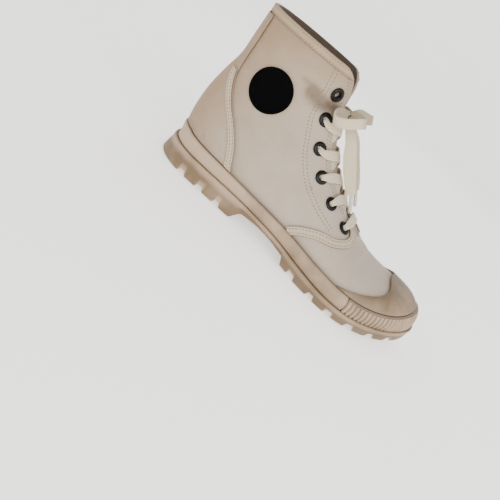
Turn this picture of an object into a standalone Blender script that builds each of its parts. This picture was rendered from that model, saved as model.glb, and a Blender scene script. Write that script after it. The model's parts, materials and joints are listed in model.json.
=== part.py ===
"""Right-hand canvas lace-up boot with a rubber foxing band, a ribbed toe bumper and a lugged sole.

Sizes are in millimetres until a mesh is made. X runs from heel to toe, +Y is the medial side (the
foot's inner side), -Y the lateral side, and Z is up from the floor that heel and forefoot stand on.
"""
import bmesh
import bpy
import numpy as np

MM = 0.001

# Driving sizes
GAP = 0.3                   # clearance between pieces that meet
WALL = 2.0                  # canvas, backing and lining together
RIM_OVERHANG = 2.2          # outsole rim beyond the foxing band
FOXING_THICKNESS = 3.0
RIB_PITCH = 3.6
RIB_DEPTH = 0.9
BUMPER_LIP = 2.0            # the bumper's thickness at its upper edge
BUMPER_THINNER = 0.4        # the bumper's ground between the ribs, below the foxing band's face
BUMPER_SHARE = 0.275        # reach of the ribbed bumper along each half of the feather line
CAP_THICKNESS = 1.8
CAP_REAR = 3.95             # section of the cap's rear edge at its foremost
CAP_CREST = 0.25            # sections that it reaches back on top
CAP_TAIL = 1.35             # sections that its lower corners trail behind
CAP_GAP = 0.9               # wider still, for the cap's long facets
CAP_FOOT = 0.6              # clearance above the bumper's upper edge
TAPE_THICKNESS = 0.9
TAPE_WIDTH = 8.0
COUNTER_THICKNESS = 0.9
FOOT_GAP = 0.5              # under the upper's lower edge
OVERLAY_GAP = 0.75          # wider than GAP, because facets dip on a round surface
INSOLE_THICKNESS = 3.0
INSOLE_CLEARANCE = 2.6      # inside the upper's wall
TONGUE_THICKNESS = 2.4
TONGUE_CLEARANCE = 0.8
BADGE_RADIUS = 18.5
BADGE_THICKNESS = 1.8
THROAT_HALF_GAP = 8.0
THROAT_SPREAD = 7.0         # extra half gap where the instep pushes the facings apart
THROAT_BASE = 5.8           # section where the throat slot begins
COLLAR_CORNER = 19.0        # radius of the facing's top corner
EYELET_COUNT = 6            # on each side
EYELET_PITCH = 23.6
EYELET_FIRST = 20.5         # arc from the throat base to the lowest eyelet
EYELET_FROM_EDGE = 13.5
EYELET_FLANGE_RADIUS = 6.1
EYELET_BORE_RADIUS = 2.8
EYELET_BARREL_RADIUS = 3.6
EYELET_FLANGE_HEIGHT = 1.2
EYELET_SEAT = 0.5           # underside of the flange above the upper's true surface
EYELET_SIDES = 12
HOLE_CLEARANCE = 0.5        # round the eyelet's barrel
LACE_WIDTH = 8.6
LACE_THICKNESS = 1.6
LACE_OVER = 1.1             # under the lace where it leaves the facing
LACE_CREST = 0.3            # extra height of the lowest bar at the facing's edge
LUG_DEPTH = 5.4
NOTCH_TAPER = 1.5           # each side of a notch, wider at the floor
NOTCH_REACH = 80.0          # half length of a notch's cutter across the sole
NOTCH_BELOW = 3.0           # the cutter's reach below the tread
HEEL_FLARE = 3.0            # the tread's overhang behind the rim at the heel
HEEL_FLARE_REACH = 25.0

UPPER_INSET = RIM_OVERHANG + FOXING_THICKNESS + GAP

# Outsole plan: along, lateral half width, medial half width
SOLE_OUTLINE = (
    (1.0, 20.5, 20.5),
    (14.0, 32.5, 32.0),
    (45.0, 37.5, 36.5),
    (90.0, 38.0, 33.0),
    (130.0, 41.0, 32.5),
    (165.0, 47.5, 39.5),
    (198.0, 51.8, 48.0),
    (222.0, 49.5, 51.0),
    (247.0, 39.0, 46.5),
    (264.0, 23.0, 35.0),
    (272.5, 7.0, 22.0),
)
HEEL_END = (-3.5, 0.0)
TOE_END = (275.0, 8.0)

# Side levels: along, groove above the outsole, top of the foxing band
SIDE_LEVELS = (
    (0.0, 20.5, 34.5),
    (45.0, 20.0, 33.0),
    (95.0, 19.5, 31.0),
    (135.0, 17.0, 29.5),
    (165.0, 13.5, 27.0),
    (195.0, 11.5, 25.5),
    (220.0, 12.5, 26.5),
    (245.0, 17.0, 32.0),
    (275.0, 25.0, 43.0),
)

# Underside: along, height
UNDERSIDE = (
    (-3.5, 0.0),
    (87.0, 0.0),
    (94.0, 10.5),
    (112.0, 12.0),
    (130.0, 11.0),
    (146.0, 8.5),
    (147.5, 2.0),
    (158.0, 1.0),
    (160.0, 0.0),
    (204.0, 0.0),
    (220.0, 1.3),
    (235.0, 3.3),
    (250.0, 5.9),
    (262.0, 8.6),
    (275.0, 12.0),
)

# Notches between the lugs: start, end
NOTCHES = (
    (25.0, 34.0),
    (46.5, 55.0),
    (67.5, 75.0),
    (156.8, 165.5),
    (180.7, 188.8),
    (201.2, 209.3),
    (221.7, 229.8),
    (241.3, 248.3),
    (257.2, 263.2),
)

# Outsole's side: inset, height as a share from the underside to the groove, rise
SOLE_PROFILE = (
    (7.0, 0.0, 0.0),
    (2.4, 0.0, 0.4),
    (0.3, 0.0, 3.2),
    (0.0, 1.0, -1.4),
    (1.3, 1.0, 0.0),
)

# Foxing band: height as a share from the groove to its top, thickness
FOXING_PROFILE = (
    (0.0, FOXING_THICKNESS),
    (0.45, FOXING_THICKNESS),
    (0.85, FOXING_THICKNESS),
    (1.0, FOXING_THICKNESS - 0.9),
)
BUMPER_LEVELS = (0.0, 0.45, 0.9, 1.0)

# Tongue: section, half width
TONGUE_WIDTHS = (
    (5.3, 12.0),
    (6.5, 19.0),
    (10.0, 27.0),
    (12.0, 28.0),
    (12.6, 22.0),
)

# Sections of the last, toe to collar: ridge x, y, z; foot (share of the feather line, toe 0 to heel 1,
# or height on the back seam); half widths; depth of the widest point; squareness; forward bow
SECTION_COLUMNS = ("name", "x", "y", "z", "foot", "lateral", "medial", "depth", "square", "bow")
SECTIONS = (
    ("tip", 256.0, 7.0, 42.2, 0.00, 0.0, 0.0, 0.60, 2.0, 4.2),
    ("toe_front", 254.5, 6.9, 42.6, 0.05, 15.0, 15.4, 0.62, 2.2, 3.8),
    ("toe", 250.5, 6.5, 43.2, 0.10, 28.0, 28.2, 0.64, 2.3, 3.0),
    ("toe_box", 244.5, 5.8, 43.8, 0.15, 38.2, 37.0, 0.66, 2.3, 2.0),
    ("cap", 234.0, 4.5, 44.6, 0.20, 45.0, 42.0, 0.68, 2.3, 1.0),
    ("ball", 206.0, 2.0, 47.5, 0.30, 49.0, 42.0, 0.70, 2.25, 0.0),
    ("throat", 178.0, 0.5, 58.0, 0.40, 45.5, 37.0, 0.68, 2.15, 0.0),
    ("instep", 152.0, 0.0, 72.5, 0.50, 40.0, 33.0, 0.66, 2.1, 0.0),
    ("waist", 131.0, 0.0, 89.0, 0.60, 37.5, 33.0, 0.64, 2.1, 0.0),
    ("ankle", 116.0, 0.0, 105.5, 0.70, 36.5, 33.5, 0.62, 2.1, 0.0),
    ("heel_fore", 107.0, 0.0, 121.0, 0.80, 35.5, 33.5, 0.60, 2.1, 0.0),
    ("heel_mid", 102.5, 0.0, 131.0, 0.90, 35.0, 33.0, 0.58, 2.1, 0.0),
    ("heel_back", 100.2, 0.0, 140.0, 1.00, 34.0, 32.5, 0.56, 2.1, 0.0),
    ("back_low", 99.5, 0.0, 144.5, 48.0, 33.5, 32.0, 0.54, 2.15, 0.0),
    ("back_mid", 98.5, 0.0, 149.0, 82.0, 33.0, 32.0, 0.53, 2.2, 0.0),
    ("back_high", 96.8, 0.0, 154.0, 118.0, 32.5, 32.0, 0.52, 2.3, 0.0),
    ("collar", 94.5, 0.0, 158.5, 158.0, 32.0, 32.0, 0.50, 2.4, 0.0),
)
HEEL_ROW = 12
TIP_SECTIONS = 4            # over which the ridge swings to the tip of the feather line
COLLAR = len(SECTIONS) - 1

# Back seam: height, along
BACK_SEAM = (
    (20.8, 2.0),
    (45.0, -2.0),
    (70.0, -2.0),
    (92.0, 1.5),
    (108.0, 5.0),
    (130.0, 5.0),
    (158.0, 4.5),
)

# Front edge of the heel counter, from the side: height, along
COUNTER_EDGE = (
    (33.0, 65.5),
    (54.0, 54.0),
    (64.5, 45.0),
    (75.5, 33.0),
    (86.5, 24.0),
    (97.0, 18.5),
    (110.0, 16.0),
    (130.0, 15.0),
    (150.0, 14.0),
)

COUNTER_TOP = 116.5         # above the foxing band's top

# Stitched tape on the quarter's lower edge, from the side: along, height of its middle line
QUARTER_TAPE = ((137.6, 34.0), (143.4, 38.0), (156.5, 44.6), (170.0, 47.6))
# The same tape's turn up to the throat: section, arc from the ridge
QUARTER_TURN = ((5.95, 30.0), (5.94, 19.5), (6.13, 12.6))
COLLAR_BAND_FOOT = 151.7    # height of the collar band's lower edge
COLLAR_MARGIN = 1.5         # between the collar band's ends and the facing's round corner
BADGE_CENTRE = (50.0, 106.8)

# Free stretches of the lace: along, across, height of the middle line, the way its flat side faces, width
LACE_LOOP = (
    (108.2, -6.4, 127.5, -0.69, 0.64, -0.34, 8.6),
    (102.6, -13.0, 127.0, -0.75, 0.51, -0.41, 8.6),
    (101.0, -21.3, 124.3, -0.82, 0.17, -0.54, 8.6),
    (104.2, -27.8, 121.9, -0.59, -0.59, -0.55, 8.6),
    (110.2, -30.2, 123.8, 0.0, -0.98, -0.22, 8.6),
    (116.8, -29.0, 128.3, 0.33, -0.94, 0.0, 8.6),
    (122.5, -25.5, 132.9, 0.63, -0.73, 0.27, 8.6),
    (124.3, -19.5, 134.3, 0.82, -0.09, 0.56, 8.6),
    (118.6, -14.9, 133.6, 0.53, 0.67, 0.53, 8.6),
    (113.6, -11.5, 132.8, 0.31, 0.85, 0.42, 8.6),
    (111.6, -7.6, 129.8, 0.32, 0.85, 0.42, 8.6),
)
LACE_END = (
    (115.9, -6.2, 121.2, 0.12, -0.96, 0.25, 7.5),
    (124.6, -9.5, 113.9, 0.12, -0.96, 0.25, 9.5),
    (132.3, -11.0, 104.2, 0.12, -0.96, 0.25, 11.0),
    (141.8, -12.0, 93.8, 0.12, -0.96, 0.25, 11.0),
    (148.8, -12.5, 86.7, 0.12, -0.96, 0.25, 9.5),
    (153.6, -12.8, 82.2, 0.12, -0.96, 0.25, 6.5),
    (158.6, -13.2, 76.2, 0.12, -0.96, 0.25, 3.8),
    (163.2, -13.8, 70.0, 0.12, -0.96, 0.25, 3.6),
)

# Crossings, lowest first: how the arms fall towards the lower eyelet (below 1 they fall early), then arc and
# height of each arm's last two points
CROSSINGS = (
    (1.7, 0.0, 0.1, -4.6, -0.9),
    (0.85, 0.0, 0.1, -4.6, -0.9),
    (0.5, 0.0, 0.1, -4.6, -0.9),
    (0.4, 4.0, 0.8, -2.0, 0.6),
)
CROSSING_RUN = 6.0          # arc on the facing that an arm lies flat before the throat
KNOT_SECTION = 10.1
KNOT_HEIGHT = 6.8
KNOT_RADII = (6.6, 8.0, 5.0)

# Colours from the photograph, linear red, green, blue, with roughness
CANVAS = ((0.56, 0.50, 0.43), 0.9)
RUBBER = ((0.46, 0.37, 0.27), 0.6)
TAPE = ((0.60, 0.54, 0.45), 0.85)
LACE = ((0.68, 0.62, 0.48), 0.85)
EYELET = ((0.012, 0.012, 0.013), 0.25)
BADGE = ((0.010, 0.010, 0.012), 0.55)


def smooth(places, values, at, level_start=False):
    """Cubic through a table's rows, with slopes from the neighbouring rows."""
    places = np.asarray(places, float)
    values = np.asarray(values, float)
    at = np.clip(np.asarray(at, float), places[0], places[-1])
    slopes = np.gradient(values, places, axis=0)
    if level_start:
        slopes[0] = 0.0
    k = np.clip(np.searchsorted(places, at, side="right") - 1, 0, len(places) - 2)
    step = places[k + 1] - places[k]
    u = (at - places[k]) / step
    if values.ndim > 1:
        u = u[..., None]
        step = step[..., None]
    return ((1 + 2 * u) * (1 - u) ** 2 * values[k] + u * (1 - u) ** 2 * step * slopes[k]
            + u * u * (3 - 2 * u) * values[k + 1] - u * u * (1 - u) * step * slopes[k + 1])


def column(table, index):
    return [row[index] for row in table]


def groove(x):
    return smooth(column(SIDE_LEVELS, 0), column(SIDE_LEVELS, 1), x)


def foxing_top(x):
    return smooth(column(SIDE_LEVELS, 0), column(SIDE_LEVELS, 2), x)


def underside(x):
    return np.interp(x, column(UNDERSIDE, 0), column(UNDERSIDE, 1))


def unit(vectors):
    return vectors / np.maximum(np.linalg.norm(vectors, axis=-1, keepdims=True), 1e-12)


def arc_length(points):
    return np.concatenate([[0.0], np.cumsum(np.linalg.norm(np.diff(points, axis=0), axis=1))])


def along(rows, shares):
    """Rows of a polyline (its coordinates first, more columns after three) at shares of its length."""
    length = arc_length(rows[:, :3])
    at = np.asarray(shares) * length[-1]
    return np.stack([np.interp(at, length, rows[:, k]) for k in range(rows.shape[1])], axis=-1)


def closed_spline(points, per_span=60):
    """Smooth closed curve through the given points, with its tangents."""
    p = np.asarray(points, float)
    n = len(p)
    span = np.linalg.norm(np.roll(p, -1, axis=0) - p, axis=1)
    matrix = np.zeros((n, n))
    target = np.zeros_like(p)
    for i in range(n):
        before, after = span[i - 1], span[i]
        matrix[i, i - 1] = after
        matrix[i, i] = 2 * (before + after)
        matrix[i, (i + 1) % n] = before
        target[i] = 3 * (after * (p[i] - p[i - 1]) / before + before * (p[(i + 1) % n] - p[i]) / after)
    slope = np.linalg.solve(matrix, target)
    u = np.linspace(0, 1, per_span, endpoint=False)[:, None]
    curve = []
    for i in range(n):
        j = (i + 1) % n
        curve.append((1 + 2 * u) * (1 - u) ** 2 * p[i] + u * (1 - u) ** 2 * span[i] * slope[i]
                     + u * u * (3 - 2 * u) * p[j] - u * u * (1 - u) * span[i] * slope[j])
    curve = np.concatenate(curve)
    return curve, unit(np.roll(curve, -1, axis=0) - np.roll(curve, 1, axis=0))


def sole_curve():
    lateral = [(x, -width) for x, width, _ in SOLE_OUTLINE]
    medial = [(x, width) for x, _, width in reversed(SOLE_OUTLINE)]
    return closed_spline([HEEL_END, *lateral, TOE_END, *medial])


SOLE_CURVE, SOLE_TANGENT = sole_curve()
CENTRE = np.append((SOLE_CURVE.min(axis=0) - (HEEL_FLARE, 0.0) + SOLE_CURVE.max(axis=0)) / 2, 0.0)


def outline(inset):
    """Lateral and medial halves of the sole's plan, each from toe to heel, moved inwards."""
    outward = np.stack([SOLE_TANGENT[:, 1], -SOLE_TANGENT[:, 0]], axis=1)
    ring = SOLE_CURVE - inset * outward
    toe = np.argmin(np.linalg.norm(SOLE_CURVE - TOE_END, axis=1))
    lateral = ring[:toe + 1][::-1]
    medial = np.concatenate([ring[toe:], ring[:1]])
    return {"lateral": lateral, "medial": medial}


def band_share(points):
    """Height on the foxing band: 0 at the groove, 1 at its top."""
    low = groove(points[..., 0])
    return (points[..., 2] - low) / (foxing_top(points[..., 0]) - low)


class Last:
    """The outer surface of the upper: section s (toe 0 to collar) by share t (ridge 0 to foot or back 1)."""

    ROWS = 321
    COLUMNS = 81
    SIDES = (("lateral", -1), ("medial", 1))

    def __init__(self):
        self.s = np.linspace(0, COLLAR, self.ROWS)
        self.t = np.linspace(0, 1, self.COLUMNS)
        self.points = {side: self.half(side, sign) for side, sign in self.SIDES}
        self.normals = {side: self.half_normals(side, sign) for side, sign in self.SIDES}
        self.join_normals()

    def column(self, name, rows=slice(None), level_start=False):
        index = SECTION_COLUMNS.index(name)
        places = np.arange(len(SECTIONS))[rows]
        values = np.array(column(SECTIONS, index), float)[rows]
        return smooth(places, values, self.s, level_start)

    def half(self, side, sign):
        ridge = np.stack([self.column(axis, level_start=True) for axis in "xyz"], axis=1)
        width = self.column(side)
        depth = self.column("depth")
        power = 2 / self.column("square")
        bow = self.column("bow", level_start=True)
        foot_xy = along(outline(UPPER_INSET)[side], self.column("foot", slice(0, HEEL_ROW + 1)))
        foot_z = groove(foot_xy[:, 0]) + FOOT_GAP
        ridge[:, 1] += (foot_xy[0, 1] - ridge[0, 1]) * np.clip(1 - self.s / TIP_SECTIONS, 0, 1) ** 2
        back_rows = np.arange(HEEL_ROW, COLLAR + 1)
        back_height = [BACK_SEAM[0][0], *(row[4] for row in SECTIONS[HEEL_ROW + 1:])]
        back_z = smooth(back_rows, back_height, self.s)
        back_x = smooth(column(BACK_SEAM, 0), column(BACK_SEAM, 1), back_z)
        rows = []
        for i, s in enumerate(self.s):
            foot = np.array([foot_xy[i, 0], abs(foot_xy[i, 1] - ridge[i, 1]), foot_z[i]])
            if s > HEEL_ROW:
                foot = np.array([back_x[i], 0.0, back_z[i]])
            rows.append(self.section(ridge[i], foot, width[i], depth[i], power[i], bow[i], sign))
        return np.array(rows)

    def section(self, ridge, foot, width, depth, power, bow, sign):
        """Half of one section: out from the ridge to the widest point, then in to the foot."""
        width = max(width, foot[1] * 1.03, 1e-6)
        end = np.pi - np.arcsin(foot[1] / width)
        angle = np.linspace(0, end, 120)
        upper_half = angle <= np.pi / 2
        sine = np.sin(angle).clip(0, 1) ** power
        cosine = np.abs(np.cos(angle)) ** power
        drop = np.where(upper_half, depth * (1 - cosine), depth + (1 - depth) * cosine / cosine[-1])
        out = width * sine
        out[~upper_half] = width - (width - foot[1]) * (1 - sine[~upper_half]) / max(1 - sine[-1], 1e-9)
        chord = np.array([foot[0] - ridge[0], foot[2] - ridge[2]])
        front = np.array([-chord[1], chord[0]]) / np.linalg.norm(chord)
        swell = bow * np.sin(np.pi * drop)
        x = ridge[0] + chord[0] * drop + front[0] * swell
        z = ridge[2] + chord[1] * drop + front[1] * swell
        return along(np.stack([x, ridge[1] + sign * out, z], axis=1), self.t)

    def half_normals(self, side, sign):
        p = self.points[side]
        return unit(-sign * np.cross(np.gradient(p, axis=0), np.gradient(p, axis=1)))

    def join_normals(self):
        """The two halves share their normals on the ridge, down the toe and on the back seam."""
        lateral, medial = self.normals["lateral"], self.normals["medial"]
        back = self.s >= HEEL_ROW
        for rows, columns in ((slice(None), 0), (0, slice(None)), (back, -1)):
            shared = unit(lateral[rows, columns] + medial[rows, columns])
            lateral[rows, columns] = shared
            medial[rows, columns] = shared

    def sample(self, grid, s, t):
        u = np.clip(np.asarray(s, float) / COLLAR * (self.ROWS - 1), 0, self.ROWS - 1.000001)
        v = np.clip(np.asarray(t, float) * (self.COLUMNS - 1), 0, self.COLUMNS - 1.000001)
        i, j = u.astype(int), v.astype(int)
        a, b = (u - i)[..., None], (v - j)[..., None]
        return ((1 - a) * (1 - b) * grid[i, j] + a * (1 - b) * grid[i + 1, j]
                + (1 - a) * b * grid[i, j + 1] + a * b * grid[i + 1, j + 1])

    def at(self, side, s, t, offset=0.0):
        """Points on the surface, moved along its normal."""
        s, t = np.broadcast_arrays(np.asarray(s, float), np.asarray(t, float))
        return self.sample(self.points[side], s, t) + np.asarray(offset)[..., None] * self.normal(side, s, t)

    def normal(self, side, s, t):
        return unit(self.sample(self.normals[side], s, t))

    def length(self, side, s):
        """Arc from ridge to foot or back at each section."""
        rows = np.linalg.norm(np.diff(self.points[side], axis=1), axis=2).sum(axis=1)
        return np.interp(s, self.s, rows)

    def across(self, s, arc, offset=0.0):
        """Points by their arc from the ridge, lateral below zero and medial above."""
        s, arc, offset = np.broadcast_arrays(*(np.asarray(v, float) for v in (s, arc, offset)))
        lateral = self.at("lateral", s, np.abs(arc) / self.length("lateral", s), offset)
        medial = self.at("medial", s, np.abs(arc) / self.length("medial", s), offset)
        return np.where((arc < 0)[..., None], lateral, medial)

    def across_normal(self, s, arc):
        side = "lateral" if arc < 0 else "medial"
        return self.normal(side, s, abs(arc) / self.length(side, s))

    def place(self, side, x, z):
        """Section and share of the point that shows at x, z from the side."""
        p = self.points[side]
        near = np.argmin((p[..., 0] - x) ** 2 + (p[..., 2] - z) ** 2)
        i, j = np.unravel_index(near, p.shape[:2])
        s, t = self.s[i], self.t[j]
        small = 0.02
        for _ in range(4):
            here = self.at(side, s, t)[[0, 2]]
            by_s = (self.at(side, s + small, t)[[0, 2]] - here) / small
            by_t = (self.at(side, s, t + small / 10)[[0, 2]] - here) / (small / 10)
            step = np.linalg.lstsq(np.stack([by_s, by_t], axis=1), np.array([x, z]) - here, rcond=None)[0]
            s = np.clip(s + step[0], 0, COLLAR - small)
            t = np.clip(t + step[1], 0, 1 - small)
        return s, t

    def nearest(self, side, point):
        """Section and share of the surface's point nearest to a point beside it."""
        p = self.points[side]
        i, j = np.unravel_index(np.argmin(((p - point) ** 2).sum(axis=2)), p.shape[:2])
        s, t = self.s[i], self.t[j]
        small = 0.01
        for _ in range(3):
            here = self.at(side, s, t)
            by_s = (self.at(side, s + small, t) - here) / small
            by_t = (self.at(side, s, t + small) - here) / small
            step = np.linalg.lstsq(np.stack([by_s, by_t], axis=1), point - here, rcond=None)[0]
            s = np.clip(s + step[0], 0, COLLAR - small)
            t = np.clip(t + step[1], 0, 1 - small)
        return s, t

    def contour(self, side, field, level):
        """Line on the surface where a field that falls from ridge to foot has one value, toe to heel."""
        height = field(self.points[side])
        found = []
        for i, s in enumerate(self.s):
            below = np.nonzero(height[i] < level)[0]
            if len(below) == 0:
                if s > HEEL_ROW:
                    break
                continue
            j = below[0]
            if j == 0:
                continue
            share = (height[i, j - 1] - level) / (height[i, j - 1] - height[i, j])
            found.append((s, self.t[j - 1] + share * (self.t[j] - self.t[j - 1])))
        heel = np.nonzero(self.s >= HEEL_ROW)[0]
        found.append((np.interp(level, height[heel, -1], self.s[heel]), 1.0))
        s, t = np.array(found).T
        return s, t, self.at(side, s, t)

    def ring(self, side, level):
        """Line round the foot at a share of the foxing band's height, from toe to heel."""
        if level == 0:
            s = self.s[self.s <= HEEL_ROW]
            t = np.ones_like(s)
            return s, t, self.at(side, s, t)
        return self.contour(side, band_share, level)


LAST = Last()


def throat_edge(s):
    """Arc from the ridge to the facing's edge: a round slot end, and a round corner at the collar."""
    s = np.asarray(s, float)
    ridge = arc_length(LAST.points["lateral"][:, 0])
    up = np.interp(s, LAST.s, ridge) - np.interp(THROAT_BASE, LAST.s, ridge)
    slot = np.clip(up / THROAT_HALF_GAP, 0, 1)
    edge = np.where(up > 0, THROAT_HALF_GAP * np.sqrt(1 - (1 - slot) ** 2), 0.0)
    to_collar = ridge[-1] - np.interp(s, LAST.s, ridge)
    edge = edge + THROAT_SPREAD * np.sin(np.pi * np.clip(up / (up + to_collar), 0, 1)) ** 2
    corner = np.clip(1 - to_collar / COLLAR_CORNER, 0, 1)
    return edge + COLLAR_CORNER * (1 - np.sqrt(1 - corner ** 2))


def principled(name, look, metallic=0.0):
    colour, roughness = look
    material = bpy.data.materials.new(name)
    material.use_nodes = True
    shader = material.node_tree.nodes["Principled BSDF"]
    shader.inputs["Base Color"].default_value = (*colour, 1.0)
    shader.inputs["Roughness"].default_value = roughness
    shader.inputs["Metallic"].default_value = metallic
    material.diffuse_color = (*colour, 1.0)
    return material


def clear_scene():
    for item in list(bpy.data.objects):
        bpy.data.objects.remove(item, do_unlink=True)


def collection(name):
    made = bpy.data.collections.new(name)
    bpy.context.scene.collection.children.link(made)
    return made


def add_object(name, mesh, material, group):
    item = bpy.data.objects.new(name, mesh)
    group.objects.link(item)
    if material is not None:
        mesh.materials.append(material)
    return item


def grid_mesh(name, points, skip=None):
    """Open surface through rows of points, in metres about the centre of the sole."""
    rows, columns = points.shape[:2]
    work = bmesh.new()
    verts = [[work.verts.new((p - CENTRE) * MM) for p in row] for row in points]
    for i in range(rows - 1):
        for j in range(columns - 1):
            if skip is None or not skip(i, j):
                work.faces.new((verts[i][j], verts[i][j + 1], verts[i + 1][j + 1], verts[i + 1][j]))
    return finish_mesh(name, work)


def loft_mesh(name, loops, round_trip=False):
    """Closed tube through loops of points, capped at its ends unless it comes back to its start."""
    work = bmesh.new()
    rings = [[work.verts.new((np.asarray(p) - CENTRE) * MM) for p in loop] for loop in loops]
    count = len(rings[0])
    pairs = list(zip(rings, rings[1:]))
    if round_trip:
        pairs.append((rings[-1], rings[0]))
    for one, other in pairs:
        for k in range(count):
            n = (k + 1) % count
            work.faces.new((one[k], one[n], other[n], other[k]))
    if not round_trip:
        work.faces.new(rings[0][::-1])
        work.faces.new(rings[-1])
    return finish_mesh(name, work)


def finish_mesh(name, work):
    bmesh.ops.remove_doubles(work, verts=work.verts, dist=0.02 * MM)
    bmesh.ops.recalc_face_normals(work, faces=work.faces)
    closed = all(edge.is_manifold for edge in work.edges)
    if closed and work.calc_volume(signed=True) < 0:
        bmesh.ops.reverse_faces(work, faces=work.faces)
    mesh = bpy.data.meshes.new(name)
    work.to_mesh(mesh)
    work.free()
    mesh.shade_smooth()
    mesh.set_sharp_from_angle(angle=np.radians(40))
    return mesh


def solidify(item, thickness, side):
    """Give an open surface its thickness, inwards for -1 and outwards for 1."""
    modifier = item.modifiers.new("Thickness", "SOLIDIFY")
    modifier.thickness = thickness * MM
    modifier.offset = side
    modifier.use_even_offset = False


def face_outwards(mesh):
    """Turn an open surface's faces to look away from the inside of the boot."""
    inside = (np.array([120.0, 0.0, 45.0]) - CENTRE) * MM
    total = sum((np.array(f.center) - inside) @ np.array(f.normal) * f.area for f in mesh.polygons)
    if total < 0:
        mesh.flip_normals()


def overlay(name, points, thickness, material, group):
    """Patch that lies on the upper, made solid outwards."""
    mesh = grid_mesh(name, points)
    face_outwards(mesh)
    item = add_object(name, mesh, material, group)
    solidify(item, thickness, 1)
    return item


def cut(item, cutter, operation="DIFFERENCE"):
    modifier = item.modifiers.new(cutter.name, "BOOLEAN")
    modifier.operation = operation
    modifier.object = cutter


def mark_cutter(item):
    item.hide_render = True
    item.display_type = "WIRE"


def spaced(*stops):
    """Values through (start, count) stops, evenly spaced up to the next stop."""
    values = []
    for (start, count), (end, _) in zip(stops, stops[1:]):
        values.extend(np.linspace(start, end, count, endpoint=False))
    return np.array([*values, stops[-1][0]])


def make_upper(material, group):
    sections = np.concatenate([
        spaced((0.0, 8), (4.0, 4), (5.0, 4), (THROAT_BASE, 3), (5.95, 2), (6.3, 0)),
        spaced((6.3, 15), (13.8, 5), (15.0, 3), (15.7, 2), (COLLAR, 0))[1:]])
    down = np.linspace(0, 1, 14)
    edge = throat_edge(sections)
    halves = []
    for side in ("lateral", "medial"):
        start = edge / LAST.length(side, sections)
        t = start[:, None] + (1 - start[:, None]) * down
        halves.append(LAST.at(side, sections[:, None], t))
    lateral, medial = halves
    points = np.concatenate([lateral[:, ::-1], medial], axis=1)
    middle = len(down) - 1
    mesh = grid_mesh("upper", points, skip=lambda i, j: j == middle)
    face_outwards(mesh)
    item = add_object("upper", mesh, material, group)
    solidify(item, WALL, -1)
    return item


def eyelet_arc(s):
    """Arc from the ridge to the line of eyelets, which keeps its distance from the facing's edge."""
    return throat_edge(np.minimum(s, COLLAR - 3.5)) + EYELET_FROM_EDGE


def eyelet_places():
    """Section of each eyelet, lowest first, evenly spaced up the facing."""
    s = np.linspace(THROAT_BASE, COLLAR, 400)
    line = LAST.across(s, -eyelet_arc(s))
    up = EYELET_FIRST + EYELET_PITCH * np.arange(EYELET_COUNT)
    return np.interp(up, arc_length(line), s)


def frame_matrix(origin, normal, towards):
    """Placement with Z along the normal and X as near as can be to a direction."""
    z = unit(np.asarray(normal, float))
    x = unit(towards - (towards @ z) * z)
    matrix = np.eye(4)
    matrix[:3, 0] = x
    matrix[:3, 1] = np.cross(z, x)
    matrix[:3, 2] = z
    matrix[:3, 3] = (origin - CENTRE) * MM
    return matrix


def make_eyelets(upper, material, group, cutters):
    """Lipped rings through the facings, with their holes cut in the upper."""
    low = -WALL - 0.3
    top = EYELET_SEAT + EYELET_FLANGE_HEIGHT
    profile = (
        (EYELET_BORE_RADIUS, top - 0.5),
        (EYELET_BORE_RADIUS + 1.3, top),
        (EYELET_FLANGE_RADIUS, EYELET_SEAT),
        (EYELET_BARREL_RADIUS, EYELET_SEAT),
        (EYELET_BARREL_RADIUS, low),
        (EYELET_BORE_RADIUS, low),
    )
    angles = np.linspace(0, 2 * np.pi, EYELET_SIDES, endpoint=False)
    loops = [[(r * np.cos(a), r * np.sin(a), z) for r, z in profile] for a in angles]
    ring = loft_mesh("eyelet", np.array(loops) + CENTRE, round_trip=True)
    for side, sign in Last.SIDES:
        for k, s in enumerate(eyelet_places()):
            arc = sign * eyelet_arc(s)
            origin = LAST.across(s, arc)
            normal = LAST.across_normal(s, arc)
            matrix = frame_matrix(origin, normal, LAST.across(s + 0.2, arc) - origin)
            item = add_object(f"eyelet_{side}_{EYELET_COUNT - k}", ring.copy(), material, group)
            item.matrix_world = matrix.T.tolist()
            hole = bmesh.new()
            radius = (EYELET_BARREL_RADIUS + HOLE_CLEARANCE) * MM
            bmesh.ops.create_cone(hole, cap_ends=True, segments=EYELET_SIDES, depth=12 * MM, radius1=radius,
                                  radius2=radius)
            hole_mesh = bpy.data.meshes.new("eyelet_hole")
            hole.to_mesh(hole_mesh)
            hole.free()
            cutter = add_object(f"hole_{side}_{EYELET_COUNT - k}", hole_mesh, None, cutters)
            cutter.matrix_world = matrix.T.tolist()
            mark_cutter(cutter)
            cut(upper, cutter)


def make_tongue(material, group):
    """Padded sheet under the facings, from inside the vamp to below the top eyelets."""
    sections = spaced((5.3, 12), (11.8, 3), (12.6, 0))
    half_width = np.interp(sections, column(TONGUE_WIDTHS, 0), column(TONGUE_WIDTHS, 1))
    across = np.linspace(-1, 1, 13)
    outer = -(WALL + TONGUE_CLEARANCE)
    points = LAST.across(sections[:, None], half_width[:, None] * across, outer)
    mesh = grid_mesh("tongue", points)
    face_outwards(mesh)
    item = add_object("tongue", mesh, material, group)
    solidify(item, TONGUE_THICKNESS, -1)


def sole_section(shares, inset):
    halves = outline(inset)
    return along(halves["lateral"], shares), along(halves["medial"], shares)


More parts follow.
